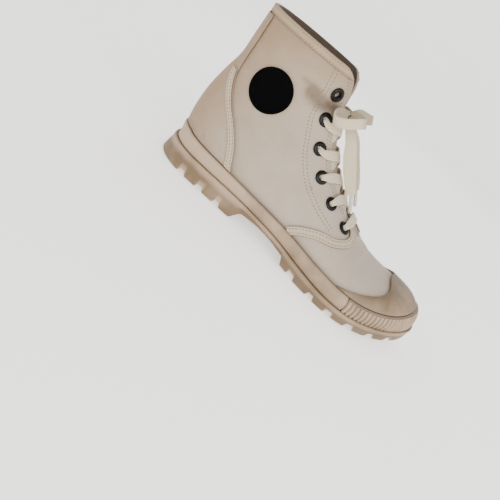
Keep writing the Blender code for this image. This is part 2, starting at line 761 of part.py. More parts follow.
def make_outsole(material, group, cutters):
    """Unit sole: chamfered tread edge, upright rim, a step in at the groove, flat bed."""
    shares = spaced((0.0015, 11), (0.16, 42), (0.86, 9), (0.9985, 0))
    columns = {"lateral": [], "medial": []}
    for inset, share, rise in SOLE_PROFILE:
        for side, xy in zip(("lateral", "medial"), sole_section(shares, inset)):
            bottom, top = underside(xy[:, 0]), groove(xy[:, 0])
            xy[:, 0] -= HEEL_FLARE * (1 - share) * np.clip(1 - xy[:, 0] / HEEL_FLARE_REACH, 0, 1)
            columns[side].append(np.column_stack([xy, bottom + share * (top - bottom) + rise]))
    loops = []
    for k in range(len(shares)):
        lateral = [ring[k] for ring in columns["lateral"]]
        medial = [ring[k] for ring in columns["medial"]]
        loops.append([*lateral, (lateral[-1] + medial[-1]) / 2, *medial[::-1], (lateral[0] + medial[0]) / 2])
    item = add_object("outsole", loft_mesh("outsole", loops), material, group)
    for start, end in NOTCHES:
        cut(item, make_notch(start, end, cutters))
    return item


def make_notch(start, end, cutters):
    """Tapered bar across the sole between two lugs, following the tread's rise."""
    section = (
        (start - NOTCH_TAPER, underside(start) - NOTCH_BELOW),
        (end + NOTCH_TAPER, underside(end) - NOTCH_BELOW),
        (end - NOTCH_TAPER, underside(end) + LUG_DEPTH),
        (start + NOTCH_TAPER, underside(start) + LUG_DEPTH),
    )
    rows = [[(x, y, z) for x, z in section] for y in (-NOTCH_REACH, NOTCH_REACH)]
    cutter = add_object(f"notch_{start:.0f}", loft_mesh("notch", rows), None, cutters)
    mark_cutter(cutter)
    return cutter


def make_insole(material, group):
    shares = spaced((0.004, 7), (0.16, 14), (0.86, 6), (0.996, 0))
    lateral, medial = sole_section(shares, UPPER_INSET + WALL + INSOLE_CLEARANCE)
    loops = []
    for one, other in zip(lateral, medial):
        across = [one + (other - one) * share for share in (0.0, 0.5, 1.0)]
        low = [np.append(p, groove(p[0]) + GAP) for p in across]
        high = [p + (0.0, 0.0, INSOLE_THICKNESS) for p in low]
        loops.append([*low, *high[::-1]])
    add_object("insole", loft_mesh("insole", loops), material, group)


def side_band(shares, levels, outer):
    """Loops round a band that stands on the sole's rim: inner side up, outer side down."""
    loops = []
    for k, (side, share) in enumerate(shares):
        inside = [(level, OVERLAY_GAP) for level in levels]
        outside = [(level, outer(level, k)) for level in levels[::-1]]
        loop = []
        for level, offset in inside + outside:
            point = ring_point(side, level, share, offset)
            if level == 0:
                point[2] = groove(point[0]) + GAP
            loop.append(point)
        loops.append(loop)
    return loops


RINGS = {}


def ring_point(side, level, share, offset):
    """Point on a line round the foot, at a share of its length from toe to heel."""
    if (side, level) not in RINGS:
        RINGS[side, level] = LAST.ring(side, level)
    s, t, points = RINGS[side, level]
    length = arc_length(points)
    at_s = np.interp(share * length[-1], length, s)
    at_t = np.interp(share * length[-1], length, t)
    return LAST.at(side, at_s, at_t, offset)


def make_foxing(material, group):
    """Rubber band from one end of the toe bumper round the heel to the other."""
    start = BUMPER_SHARE + 0.0025
    half = spaced((start, 16), (0.82, 10), (1.0, 0))
    shares = [("lateral", v) for v in half] + [("medial", v) for v in half[-2::-1]]
    thickness = dict(FOXING_PROFILE)
    loops = side_band(shares, column(FOXING_PROFILE, 0), lambda level, k: GAP + thickness[level])
    add_object("foxing_band", loft_mesh("foxing_band", loops), material, group)


def make_bumper(material, group):
    """Ribbed rubber strip round the toe."""
    length = arc_length(LAST.ring("lateral", 0)[2])[-1]
    count = int(BUMPER_SHARE * length / RIB_PITCH * 2)
    half = np.linspace(BUMPER_SHARE, 0.0, count + 1)
    shares = [("lateral", v) for v in half] + [("medial", v) for v in half[-2::-1]]

    def outer(level, k):
        rib = RIB_DEPTH * (k % 2)
        return GAP + (BUMPER_LIP if level == 1.0 else FOXING_THICKNESS - BUMPER_THINNER + rib)

    loops = side_band(shares, BUMPER_LEVELS, outer)
    add_object("toe_bumper", loft_mesh("toe_bumper", loops), material, group)


def make_toe_cap(material, group):
    """Smooth rubber cap above the bumper, its rear edge hollow towards the toe."""
    rows = np.linspace(0, 1, 11)
    halves = []
    for side, _ in Last.SIDES:
        s, t, _ = LAST.ring(side, 1.0)
        down = 1 - np.linspace(1, 0, 11) ** 1.5
        rear = CAP_REAR + CAP_CREST * (1 - down ** 2) ** 4 + CAP_TAIL * down ** 5
        sections = rows[:, None] * rear
        low = np.interp(sections, s, t) - CAP_FOOT / LAST.length(side, sections)
        halves.append(LAST.at(side, sections, np.maximum(low, 0) * down, CAP_GAP))
    lateral, medial = halves
    points = np.concatenate([lateral[:, :0:-1], medial], axis=1)
    overlay("toe_cap", points, CAP_THICKNESS, material, group)


def tape_points(side, sign, stations=18, edges=(-0.5, 0.0, 0.5)):
    """Ribbon of surface points along the quarter's lower edge and up to the throat."""
    low = [LAST.at(side, *LAST.place(side, x, z)) for x, z in QUARTER_TAPE]
    turn = [LAST.across(s, sign * arc) for s, arc in QUARTER_TURN]
    route = np.array(low + turn)
    fine = smooth(np.arange(len(route)), route, np.linspace(0, len(route) - 1, 120))
    line = along(fine, np.linspace(0, 1, stations))
    normals = np.array([LAST.normal(side, *LAST.nearest(side, point)) for point in line])
    sideways = unit(np.cross(normals, np.gradient(line, axis=0)))
    rows = []
    for point, way in zip(line, sideways):
        places = [LAST.nearest(side, point + edge * TAPE_WIDTH * way) for edge in edges]
        rows.append([LAST.at(side, s, t, OVERLAY_GAP) for s, t in places])
    return np.array(rows)


def make_quarter_tapes(material, group):
    for side, sign in Last.SIDES:
        overlay(f"quarter_tape_{side}", tape_points(side, sign), TAPE_THICKNESS, material, group)


def counter_route(side, level):
    """Places on the heel panel at one height above the foxing band, from the back seam to its front edge."""
    s, t, points = LAST.contour(side, lambda p: p[..., 2] - foxing_top(p[..., 0]), level)
    route = np.column_stack([points, s, t])[::-1]
    beyond = route[:, 0] - smooth(column(COUNTER_EDGE, 0), column(COUNTER_EDGE, 1), route[:, 2])
    k = np.argmax(beyond > 0)
    share = beyond[k - 1] / (beyond[k - 1] - beyond[k])
    return np.vstack([route[:k], route[k - 1] + share * (route[k] - route[k - 1])])


def make_heel_counter(material, group):
    """Panel over the heel, narrow behind the ankle, from the foxing band to the collar band."""
    levels = spaced((0.9, 9), (70.0, 5), (COUNTER_TOP, 0))
    columns = np.linspace(0, 1, 11)
    halves = []
    for side, _ in Last.SIDES:
        rows = np.array([along(counter_route(side, level), columns) for level in levels])
        halves.append(LAST.at(side, rows[..., 3], rows[..., 4], OVERLAY_GAP))
    lateral, medial = halves
    points = np.concatenate([lateral[:, :0:-1], medial], axis=1)
    overlay("heel_counter", points, COUNTER_THICKNESS, material, group)


def collar_row(side, rise):
    """Line round the top edge at a share of the collar band's height, from the facing's corner to the back."""
    high = LAST.s[LAST.s >= HEEL_ROW]
    height = COLLAR_BAND_FOOT + rise * (SECTIONS[-1][3] - COLLAR_BAND_FOOT)
    s = np.full(14, COLLAR, float)
    for _ in range(4):
        start = (throat_edge(s[0]) + COLLAR_MARGIN) / LAST.length(side, s)
        t = start + (1 - start) * np.linspace(0, 1, len(s))
        levels = LAST.at(side, high[:, None], t)[..., 2]
        s = np.array([np.interp(height, level, high) for level in levels.T])
    return LAST.at(side, s, t, OVERLAY_GAP)


def make_collar_band(material, group):
    """Binding round the top edge, from one facing corner to the other."""
    lateral, medial = (np.array([collar_row(side, rise) for rise in np.linspace(0, 0.97, 4)])
                       for side, _ in Last.SIDES)
    points = np.concatenate([lateral, medial[:, -2::-1]], axis=1)
    overlay("collar_band", points, TAPE_THICKNESS, material, group)


def make_badge(material, group):
    """Plain rubber disc on the lateral ankle, curved with the canvas."""
    x, z = BADGE_CENTRE
    radii = np.array([0.02, 0.5, 1.0]) * BADGE_RADIUS
    rows = []
    for angle in np.linspace(0, 2 * np.pi, 25):
        row = []
        for radius in radii:
            s, t = LAST.place("lateral", x + radius * np.cos(angle), z + radius * np.sin(angle))
            row.append(LAST.at("lateral", s, t, GAP))
        rows.append(row)
    points = np.array(rows)
    points[:, 0] = points[:, 0].mean(axis=0)
    overlay("ankle_badge", points, BADGE_THICKNESS, material, group)


def ribbon_loops(middle, normals, widths):
    """Rectangular loops along a lace's middle line."""
    direction = unit(np.gradient(middle, axis=0))
    sideways = unit(np.cross(direction, normals))
    up = unit(np.cross(sideways, direction))
    w, h = widths[:, None] / 2 * sideways, LACE_THICKNESS / 2 * up
    return np.stack([middle - w - h, middle + w - h, middle + w + h, middle - w + h], axis=1)


def surface_ribbon(route, stations):
    """Ribbon from (section, arc, height) points over the facings and across the throat."""
    route = np.array(route, float)
    fine = smooth(np.arange(len(route)), route, np.linspace(0, len(route) - 1, 80))
    middle = LAST.across(fine[:, 0], fine[:, 1], fine[:, 2])
    shares = np.linspace(0, 1, stations)
    picked = along(np.column_stack([middle, fine]), shares)
    normals = np.array([LAST.across_normal(s, arc) for s, arc in picked[:, 3:5]])
    return ribbon_loops(picked[:, :3], normals, np.full(stations, LACE_WIDTH))


def make_laces(material, group, cutters):
    """Crossings between neighbouring eyelets, each an X, and a bar at the lowest pair."""
    places = eyelet_places()
    rest = EYELET_SEAT + EYELET_FLANGE_HEIGHT + 2 * GAP + LACE_THICKNESS / 2
    over = LACE_OVER + LACE_THICKNESS / 2
    for k, (fall, *ends) in enumerate(CROSSINGS):
        low, high = places[k], places[k + 1]
        hole = eyelet_arc(high)
        edge = throat_edge(high)
        arms = []
        for sign in (-1, 1):
            route = []
            for arc, height in ((hole, rest), (edge + CROSSING_RUN, rest), (edge, over), ends[:2], ends[2:]):
                down = ((hole - arc) / (2 * hole)) ** fall
                route.append((high + (low - high) * down, sign * arc, height))
            arms.append(loft_mesh("lace_arm", surface_ribbon(route, 12)))
        item = add_object(f"lace_crossing_{EYELET_COUNT - 1 - k}", arms[0], material, group)
        arm = add_object(f"lace_arm_{EYELET_COUNT - 1 - k}", arms[1], None, cutters)
        mark_cutter(arm)
        cut(item, arm, "UNION")
    hole = eyelet_arc(places[0])
    edge = throat_edge(places[0])
    route = [(places[0], arc, height) for arc, height in
             ((-hole, rest), (-edge, over + LACE_CREST), (0.0, over), (edge, over + LACE_CREST), (hole, rest))]
    add_object("lace_bar", loft_mesh("lace_bar", surface_ribbon(route, 13)), material, group)


def make_bow(material, group):
    """Knot, two loops and two ends of the bow, the medial ones mirrored from the lateral ones."""
    sphere = bmesh.new()
    bmesh.ops.create_uvsphere(sphere, u_segments=14, v_segments=8, radius=MM)
    for vert in sphere.verts:
        vert.co = [c * r for c, r in zip(vert.co, KNOT_RADII)]
    knot = bpy.data.meshes.new("lace_knot")
    sphere.to_mesh(knot)
    sphere.free()
    knot.shade_smooth()
    normal = LAST.across_normal(KNOT_SECTION, 0.0)
    origin = LAST.across(KNOT_SECTION, 0.0, KNOT_HEIGHT)
    item = add_object("lace_knot", knot, material, group)
    item.matrix_world = frame_matrix(origin, normal, np.array([0.0, 0.0, 1.0])).T.tolist()
    for side, sign in Last.SIDES:
        for name, route, stations in (("lace_loop", LACE_LOOP, 22), ("lace_end", LACE_END, 14)):
            rows = np.array(route) * (1, -sign, 1, 1, -sign, 1, 1)
            fine = smooth(np.arange(len(rows)), rows, np.linspace(0, len(rows) - 1, 120))
            picked = along(fine, np.linspace(0, 1, stations))
            loops = ribbon_loops(picked[:, :3], unit(picked[:, 3:6]), picked[:, 6])
            add_object(f"{name}_{side}", loft_mesh(name, loops), material, group)


def main():
    clear_scene()
    boot = collection("lace_up_boot")
    cutters = collection("cutters")
    canvas = principled("canvas", CANVAS)
    rubber = principled("rubber", RUBBER)
    tape = principled("tape", TAPE)
    lace = principled("lace", LACE)
    enamel = principled("black_enamel", EYELET)
    badge = principled("black_rubber", BADGE)
    make_outsole(rubber, boot, cutters)
    make_foxing(rubber, boot)
    make_bumper(rubber, boot)
    make_toe_cap(rubber, boot)
    upper = make_upper(canvas, boot)
    make_eyelets(upper, enamel, boot, cutters)
    make_tongue(canvas, boot)
    make_insole(canvas, boot)
    make_heel_counter(canvas, boot)
    make_quarter_tapes(tape, boot)
    make_collar_band(tape, boot)
    make_badge(badge, boot)
    make_laces(lace, boot, cutters)
    make_bow(lace, boot)


main()
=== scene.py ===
"""Looks of a canvas lace-up boot: canvas, rubber, tape, stitching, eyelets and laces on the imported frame.

Sizes are in millimetres in the boot's own axes until a mesh is made: X runs from heel to toe, +Y is the
medial side, -Y the lateral side that the camera sees, and Z is up from the floor.
"""

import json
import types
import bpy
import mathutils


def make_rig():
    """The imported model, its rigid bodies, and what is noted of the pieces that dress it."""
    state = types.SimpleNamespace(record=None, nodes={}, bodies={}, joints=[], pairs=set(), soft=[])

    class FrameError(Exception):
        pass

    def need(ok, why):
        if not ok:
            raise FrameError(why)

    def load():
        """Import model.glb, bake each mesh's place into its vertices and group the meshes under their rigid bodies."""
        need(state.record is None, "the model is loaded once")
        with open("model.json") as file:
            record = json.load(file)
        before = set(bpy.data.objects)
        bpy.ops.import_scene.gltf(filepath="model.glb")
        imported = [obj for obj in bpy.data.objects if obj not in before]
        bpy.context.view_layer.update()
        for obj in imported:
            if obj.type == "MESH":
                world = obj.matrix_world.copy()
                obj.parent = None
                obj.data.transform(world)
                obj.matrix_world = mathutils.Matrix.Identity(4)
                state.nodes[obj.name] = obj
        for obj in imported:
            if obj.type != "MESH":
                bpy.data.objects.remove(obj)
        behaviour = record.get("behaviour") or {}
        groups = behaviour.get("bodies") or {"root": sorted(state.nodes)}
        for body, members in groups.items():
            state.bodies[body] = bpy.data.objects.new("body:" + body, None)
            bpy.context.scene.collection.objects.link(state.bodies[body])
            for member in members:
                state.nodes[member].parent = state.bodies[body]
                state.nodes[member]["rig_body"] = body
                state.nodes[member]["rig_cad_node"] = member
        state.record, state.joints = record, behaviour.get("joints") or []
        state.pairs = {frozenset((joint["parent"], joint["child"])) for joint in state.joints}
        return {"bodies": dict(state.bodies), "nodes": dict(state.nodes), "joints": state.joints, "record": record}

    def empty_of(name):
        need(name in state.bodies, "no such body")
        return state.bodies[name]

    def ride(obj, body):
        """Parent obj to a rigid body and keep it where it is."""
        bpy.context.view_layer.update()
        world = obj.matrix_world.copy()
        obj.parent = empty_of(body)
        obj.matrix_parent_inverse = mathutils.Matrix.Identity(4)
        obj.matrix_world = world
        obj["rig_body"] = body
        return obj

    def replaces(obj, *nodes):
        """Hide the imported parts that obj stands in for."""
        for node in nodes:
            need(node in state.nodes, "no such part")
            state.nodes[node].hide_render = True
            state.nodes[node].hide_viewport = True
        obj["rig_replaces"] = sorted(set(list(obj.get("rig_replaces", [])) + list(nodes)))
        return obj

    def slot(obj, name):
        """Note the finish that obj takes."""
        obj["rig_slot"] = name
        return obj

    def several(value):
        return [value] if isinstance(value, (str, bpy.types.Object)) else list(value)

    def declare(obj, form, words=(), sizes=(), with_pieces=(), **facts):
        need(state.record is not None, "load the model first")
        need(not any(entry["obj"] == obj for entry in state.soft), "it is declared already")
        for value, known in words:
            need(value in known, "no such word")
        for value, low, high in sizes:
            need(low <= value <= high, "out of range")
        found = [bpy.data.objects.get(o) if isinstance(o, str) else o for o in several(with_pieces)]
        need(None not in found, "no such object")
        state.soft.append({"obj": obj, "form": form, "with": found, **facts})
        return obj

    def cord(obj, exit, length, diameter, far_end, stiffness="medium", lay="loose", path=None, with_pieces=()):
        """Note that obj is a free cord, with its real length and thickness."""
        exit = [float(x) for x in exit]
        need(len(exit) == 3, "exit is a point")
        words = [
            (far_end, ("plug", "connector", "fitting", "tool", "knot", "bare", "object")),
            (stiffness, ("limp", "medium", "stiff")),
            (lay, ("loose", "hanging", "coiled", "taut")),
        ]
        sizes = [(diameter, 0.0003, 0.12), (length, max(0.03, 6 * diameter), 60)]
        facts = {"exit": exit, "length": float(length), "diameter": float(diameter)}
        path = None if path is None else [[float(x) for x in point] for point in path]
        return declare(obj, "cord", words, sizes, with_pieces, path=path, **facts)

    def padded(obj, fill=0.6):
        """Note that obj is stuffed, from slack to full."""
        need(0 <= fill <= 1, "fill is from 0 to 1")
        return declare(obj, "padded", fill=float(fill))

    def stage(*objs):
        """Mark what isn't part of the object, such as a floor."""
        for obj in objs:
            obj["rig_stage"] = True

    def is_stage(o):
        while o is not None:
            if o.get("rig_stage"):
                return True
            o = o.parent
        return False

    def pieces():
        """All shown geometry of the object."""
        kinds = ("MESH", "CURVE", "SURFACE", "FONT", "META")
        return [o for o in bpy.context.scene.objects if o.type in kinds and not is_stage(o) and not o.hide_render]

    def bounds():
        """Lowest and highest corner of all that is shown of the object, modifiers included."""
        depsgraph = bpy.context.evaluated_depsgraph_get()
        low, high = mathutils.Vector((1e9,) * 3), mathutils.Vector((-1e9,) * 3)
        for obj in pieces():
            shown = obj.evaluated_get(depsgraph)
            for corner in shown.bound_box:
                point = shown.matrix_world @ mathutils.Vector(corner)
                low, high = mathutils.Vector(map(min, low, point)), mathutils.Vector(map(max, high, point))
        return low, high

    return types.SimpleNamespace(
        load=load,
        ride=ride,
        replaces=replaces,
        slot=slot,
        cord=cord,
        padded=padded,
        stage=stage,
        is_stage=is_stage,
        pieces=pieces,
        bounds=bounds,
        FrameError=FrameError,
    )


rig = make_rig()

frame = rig.load()

import json

import bmesh
import bpy
import numpy as np
from bpy.props import FloatProperty, FloatVectorProperty, PointerProperty
from mathutils import Matrix

bl_info = {
    "name": "Canvas lace-up boot",
    "version": (1, 0, 0),
    "blender": (4, 5, 0),
    "location": "3D View > Sidebar > Boot",
    "description": "Dresses the packed boot in canvas, rubber, tape, stitching, eyelets and laces",
    "category": "Object",
}

CAD_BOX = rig.bounds()
MM = 0.001
SIDES = (("lateral", -1), ("medial", 1))

# Sizes shared with the solids
GAP = 0.3
WALL = 2.0
RIM_OVERHANG = 2.2
FOXING_THICKNESS = 3.0
BUMPER_SHARE = 0.275
CAP_THICKNESS = 1.8
CAP_REAR = 3.95
CAP_CREST = 0.25
CAP_TAIL = 1.35
TAPE_THICKNESS = 0.9
TAPE_WIDTH = 8.0
FOOT_GAP = 0.5
OVERLAY_GAP = 0.75
INSOLE_THICKNESS = 3.0
INSOLE_CLEARANCE = 2.6
TONGUE_THICKNESS = 2.4
TONGUE_CLEARANCE = 0.8
BADGE_RADIUS = 18.5
THROAT_HALF_GAP = 8.0
THROAT_SPREAD = 7.0
THROAT_BASE = 5.8
COLLAR_CORNER = 19.0
EYELET_COUNT = 6
EYELET_PITCH = 23.6
EYELET_FIRST = 20.5
EYELET_FROM_EDGE = 13.5
EYELET_FLANGE_RADIUS = 6.1
EYELET_BORE_RADIUS = 2.8
EYELET_BARREL_RADIUS = 3.6
EYELET_FLANGE_HEIGHT = 1.2
EYELET_SEAT = 0.5
LACE_THICKNESS = 1.6
LUG_DEPTH = 5.4
HEEL_FLARE = 3.0
HEEL_FLARE_REACH = 25.0
UPPER_INSET = RIM_OVERHANG + FOXING_THICKNESS + GAP

# Outsole plan: along, lateral half width, medial half width
SOLE_OUTLINE = (
    (1.0, 20.5, 20.5),
    (14.0, 32.5, 32.0),
    (45.0, 37.5, 36.5),
    (90.0, 38.0, 33.0),
    (130.0, 41.0, 32.5),
    (165.0, 47.5, 39.5),
    (198.0, 51.8, 48.0),
    (222.0, 49.5, 51.0),
    (247.0, 39.0, 46.5),
    (264.0, 23.0, 35.0),
    (272.5, 7.0, 22.0),
)
HEEL_END = (-3.5, 0.0)
TOE_END = (275.0, 8.0)

# Side levels: along, groove above the outsole, top of the foxing band
SIDE_LEVELS = (
    (0.0, 20.5, 34.5),
    (45.0, 20.0, 33.0),
    (95.0, 19.5, 31.0),
    (135.0, 17.0, 29.5),
    (165.0, 13.5, 27.0),
    (195.0, 11.5, 25.5),
    (220.0, 12.5, 26.5),
    (245.0, 17.0, 32.0),
    (275.0, 25.0, 43.0),
)

# Underside: along, height
UNDERSIDE = (
    (-3.5, 0.0),
    (87.0, 0.0),
    (94.0, 10.5),
    (112.0, 12.0),
    (130.0, 11.0),
    (146.0, 8.5),
    (147.5, 2.0),
    (158.0, 1.0),
    (160.0, 0.0),
    (204.0, 0.0),
    (220.0, 1.3),
    (235.0, 3.3),
    (250.0, 5.9),
    (262.0, 8.6),
    (275.0, 12.0),
)

# Notches between the lugs: start, end
NOTCHES = (
    (25.0, 34.0),
    (46.5, 55.0),
    (67.5, 75.0),
    (156.8, 165.5),
    (180.7, 188.8),
    (201.2, 209.3),
    (221.7, 229.8),
    (241.3, 248.3),
    (257.2, 263.2),
)

# Sections of the last, toe to collar: ridge x, y, z; foot (share of the feather line, toe 0 to heel 1,
# or height on the back seam); half widths; depth of the widest point; squareness; forward bow
SECTION_COLUMNS = ("name", "x", "y", "z", "foot", "lateral", "medial", "depth", "square", "bow")
SECTIONS = (
    ("tip", 256.0, 7.0, 42.2, 0.00, 0.0, 0.0, 0.60, 2.0, 4.2),
    ("toe_front", 254.5, 6.9, 42.6, 0.05, 15.0, 15.4, 0.62, 2.2, 3.8),
    ("toe", 250.5, 6.5, 43.2, 0.10, 28.0, 28.2, 0.64, 2.3, 3.0),
    ("toe_box", 244.5, 5.8, 43.8, 0.15, 38.2, 37.0, 0.66, 2.3, 2.0),
    ("cap", 234.0, 4.5, 44.6, 0.20, 45.0, 42.0, 0.68, 2.3, 1.0),
    ("ball", 206.0, 2.0, 47.5, 0.30, 49.0, 42.0, 0.70, 2.25, 0.0),
    ("throat", 178.0, 0.5, 58.0, 0.40, 45.5, 37.0, 0.68, 2.15, 0.0),
    ("instep", 152.0, 0.0, 72.5, 0.50, 40.0, 33.0, 0.66, 2.1, 0.0),
    ("waist", 131.0, 0.0, 89.0, 0.60, 37.5, 33.0, 0.64, 2.1, 0.0),
    ("ankle", 116.0, 0.0, 105.5, 0.70, 36.5, 33.5, 0.62, 2.1, 0.0),
    ("heel_fore", 107.0, 0.0, 121.0, 0.80, 35.5, 33.5, 0.60, 2.1, 0.0),
    ("heel_mid", 102.5, 0.0, 131.0, 0.90, 35.0, 33.0, 0.58, 2.1, 0.0),
    ("heel_back", 100.2, 0.0, 140.0, 1.00, 34.0, 32.5, 0.56, 2.1, 0.0),
    ("back_low", 99.5, 0.0, 144.5, 48.0, 33.5, 32.0, 0.54, 2.15, 0.0),
    ("back_mid", 98.5, 0.0, 149.0, 82.0, 33.0, 32.0, 0.53, 2.2, 0.0),
    ("back_high", 96.8, 0.0, 154.0, 118.0, 32.5, 32.0, 0.52, 2.3, 0.0),
    ("collar", 94.5, 0.0, 158.5, 158.0, 32.0, 32.0, 0.50, 2.4, 0.0),
)
HEEL_ROW = 12
TIP_SECTIONS = 4
COLLAR = len(SECTIONS) - 1
EYELET_STRAIGHT = COLLAR - 3.5   # above this section the eyelets' line keeps its arc

# Back seam: height, along
BACK_SEAM = (
    (20.8, 2.0),
    (45.0, -2.0),
    (70.0, -2.0),
    (92.0, 1.5),
    (108.0, 5.0),
    (130.0, 5.0),
    (158.0, 4.5),
)

# Front edge of the heel counter, from the side: height, along
COUNTER_EDGE = (
    (33.0, 65.5),
    (54.0, 54.0),
    (64.5, 45.0),
    (75.5, 33.0),
    (86.5, 24.0),
    (97.0, 18.5),
    (110.0, 16.0),
    (130.0, 15.0),
    (150.0, 14.0),
)
QUARTER_TAPE = ((134.0, 29.5), (143.0, 37.5), (156.5, 44.6), (170.0, 47.6))
QUARTER_TURN = ((5.95, 30.0), (5.94, 19.5), (6.13, 12.6))
COLLAR_BAND_FOOT = 151.7
BADGE_CENTRE = (50.0, 106.8)

# Free stretches of the lace: along, across, height of the middle line, the way its flat side faces, width
LACE_LOOP = (
    (108.2, -6.4, 127.5, -0.69, 0.64, -0.34, 8.6),
    (102.6, -13.0, 127.0, -0.75, 0.51, -0.41, 8.6),
    (101.0, -21.3, 124.3, -0.82, 0.17, -0.54, 8.6),
    (104.2, -27.8, 121.9, -0.59, -0.59, -0.55, 8.6),
    (110.2, -30.2, 123.8, 0.0, -0.98, -0.22, 8.6),
    (116.8, -29.0, 128.3, 0.33, -0.94, 0.0, 8.6),
    (122.5, -25.5, 132.9, 0.63, -0.73, 0.27, 8.6),
    (124.3, -19.5, 134.3, 0.82, -0.09, 0.56, 8.6),
    (118.6, -14.9, 133.6, 0.53, 0.67, 0.53, 8.6),
    (113.6, -11.5, 132.8, 0.31, 0.85, 0.42, 8.6),
    (111.6, -7.6, 129.8, 0.32, 0.85, 0.42, 8.6),
)
LACE_END = (
    (115.9, -6.2, 121.2, 0.12, -0.96, 0.25, 7.5),
    (124.6, -9.5, 113.9, 0.12, -0.96, 0.25, 9.5),
    (132.3, -11.0, 104.2, 0.12, -0.96, 0.25, 11.0),
    (141.8, -12.0, 93.8, 0.12, -0.96, 0.25, 11.0),
    (148.8, -12.5, 86.7, 0.12, -0.96, 0.25, 9.5),
    (153.6, -12.8, 82.2, 0.12, -0.96, 0.25, 6.5),
    (158.6, -13.2, 76.2, 0.12, -0.96, 0.25, 3.8),
    (163.2, -13.8, 70.0, 0.12, -0.96, 0.25, 3.6),
)
# How each crossing's arms fall towards the lower eyelet, lowest first: below 1 they fall early
LACE_FALL = (1.7, 0.85, 0.5, 0.4)
# Dirt and painted shade along a loop of the bow, whose far half is painted darker and browner:
# share of its length, dirt and painted shade
LOOP_DIRT_AND_SHADE = ((0.0, 0.2, 0.3, 0.64, 0.74, 1.0), (0.45, 0.45, 0.06, 0.06, 0.45, 0.45))
KNOT_SECTION = 10.1
KNOT_HEIGHT = 6.8

# Soft creases in the canvas, troughs above zero and ridges below: depth, half width, dirt and
# painted shade in the trough, points they pass through
CREASES = (
    (1.3, 2.3, 0.35, ((64.6, -30.3, 130.8), (71.9, -28.7, 130.5), (78.9, -25.6, 130.1))),
    (4.4, 4.8, 0.92, ((75, -27.5, 126.0), (83, -24, 125.0), (89, -20, 125.0), (95, -13, 127.0))),
    (-1.6, 4.0, 0.0, ((80, -26, 116.0), (89, -21, 116.5))),
    (-0.9, 5.0, 0.0, ((62, -32, 138), (72, -29, 139), (80, -25, 139))),
    (2.6, 4.8, 0.3, ((75, 27.5, 126.0), (83, 24, 125.0), (89, 20, 125.0), (95, 13, 127.0))),
    (1.0, 6.0, 0.1, ((120, -36, 70), (124, -32, 84), (122, -28, 94))),
    (0.8, 6.0, 0.1, ((120, 33, 70), (124, 30, 84), (122, 27, 94))),
    (0.7, 5.0, 0.06, ((196, -40, 36), (200, -22, 47), (203, 0, 49), (200, 22, 47), (194, 34, 38))),
    (0.6, 5.0, 0.06, ((186, -38, 38), (188, -20, 51), (190, 0, 54), (188, 20, 51), (184, 32, 40))),
)

# Scuffs and smears on the canvas: along, across, height, radius, dirt
SCUFFS = (
    (57.1, -32.2, 86.0, 1.4, 0.5),
    (84.7, -27.6, 102.7, 1.6, 0.25),
    (126.0, -31.1, 68.3, 1.4, 0.45),
    (26.9, -32.5, 40.3, 1.5, 0.4),
    (66.9, -33.7, 68.5, 9.0, 0.09),
    (87.5, -32.4, 84.6, 10.0, 0.09),
)

# The photograph's camera: place in the boot's millimetres, turn, height and roll in degrees,
# focal length in pixels, sensor in millimetres, near clip in metres
CAMERA_PLACE = (150.2, -481.5, 196.1)
CAMERA_TURN = 3.76
CAMERA_RISE = 24.61
CAMERA_ROLL = 40.72
FOCAL_PIXELS = 560.0
IMAGE_PIXELS = 500.0
SENSOR_WIDTH = 36.0
CLIP_START = 0.01


def linear(code):
    """Linear red, green and blue of an sRGB hex colour."""
    values = np.array([int(code[k:k + 2], 16) for k in (1, 3, 5)]) / 255
    return tuple(np.where(values <= 0.04045, values / 12.92, ((values + 0.055) / 1.055) ** 2.4))


def hermite(u, step, start, end, start_slope, end_slope):
    """Cubic between two values with their slopes, at a share u of the step between them."""
    return ((1 + 2 * u) * (1 - u) ** 2 * start + u * (1 - u) ** 2 * step * start_slope
            + u * u * (3 - 2 * u) * end - u * u * (1 - u) * step * end_slope)


def smooth(places, values, at, level_start=False):
    """Cubic through a table's rows, with slopes from the neighbouring rows."""
    places = np.asarray(places, float)
    values = np.asarray(values, float)
    at = np.clip(np.asarray(at, float), places[0], places[-1])
    slopes = np.gradient(values, places, axis=0)
    if level_start:
        slopes[0] = 0.0
    k = np.clip(np.searchsorted(places, at, side="right") - 1, 0, len(places) - 2)
    step = places[k + 1] - places[k]
    u = (at - places[k]) / step
    if values.ndim > 1:
        u = u[..., None]
        step = step[..., None]
    return hermite(u, step, values[k], values[k + 1], slopes[k], slopes[k + 1])


def through(route, count):
    """Points of a smooth line through a route's rows."""
    route = np.asarray(route, float)
    return smooth(np.arange(len(route)), route, np.linspace(0, len(route) - 1, count))


def column(table, index):
    return [row[index] for row in table]


def groove(x):
    return smooth(column(SIDE_LEVELS, 0), column(SIDE_LEVELS, 1), x)


def foxing_top(x):
    return smooth(column(SIDE_LEVELS, 0), column(SIDE_LEVELS, 2), x)


def underside(x):
    return np.interp(x, column(UNDERSIDE, 0), column(UNDERSIDE, 1))


def unit(vectors):
    return vectors / np.maximum(np.linalg.norm(vectors, axis=-1, keepdims=True), 1e-12)


def arc_length(points):
    return np.concatenate([[0.0], np.cumsum(np.linalg.norm(np.diff(points, axis=0), axis=1))])


def along(rows, shares):
    """Rows of a polyline (x, y and z first, more columns after) at shares of its length."""
    length = arc_length(rows[:, :3])
    at = np.asarray(shares) * length[-1]
    return np.stack([np.interp(at, length, rows[:, k]) for k in range(rows.shape[1])], axis=-1)


def spaced(*stops):
    """Values through (start, count) stops, evenly spaced up to the next stop."""
    values = []
    for (start, count), (end, _) in zip(stops, stops[1:]):
        values.extend(np.linspace(start, end, count, endpoint=False))
    return np.array([*values, stops[-1][0]])


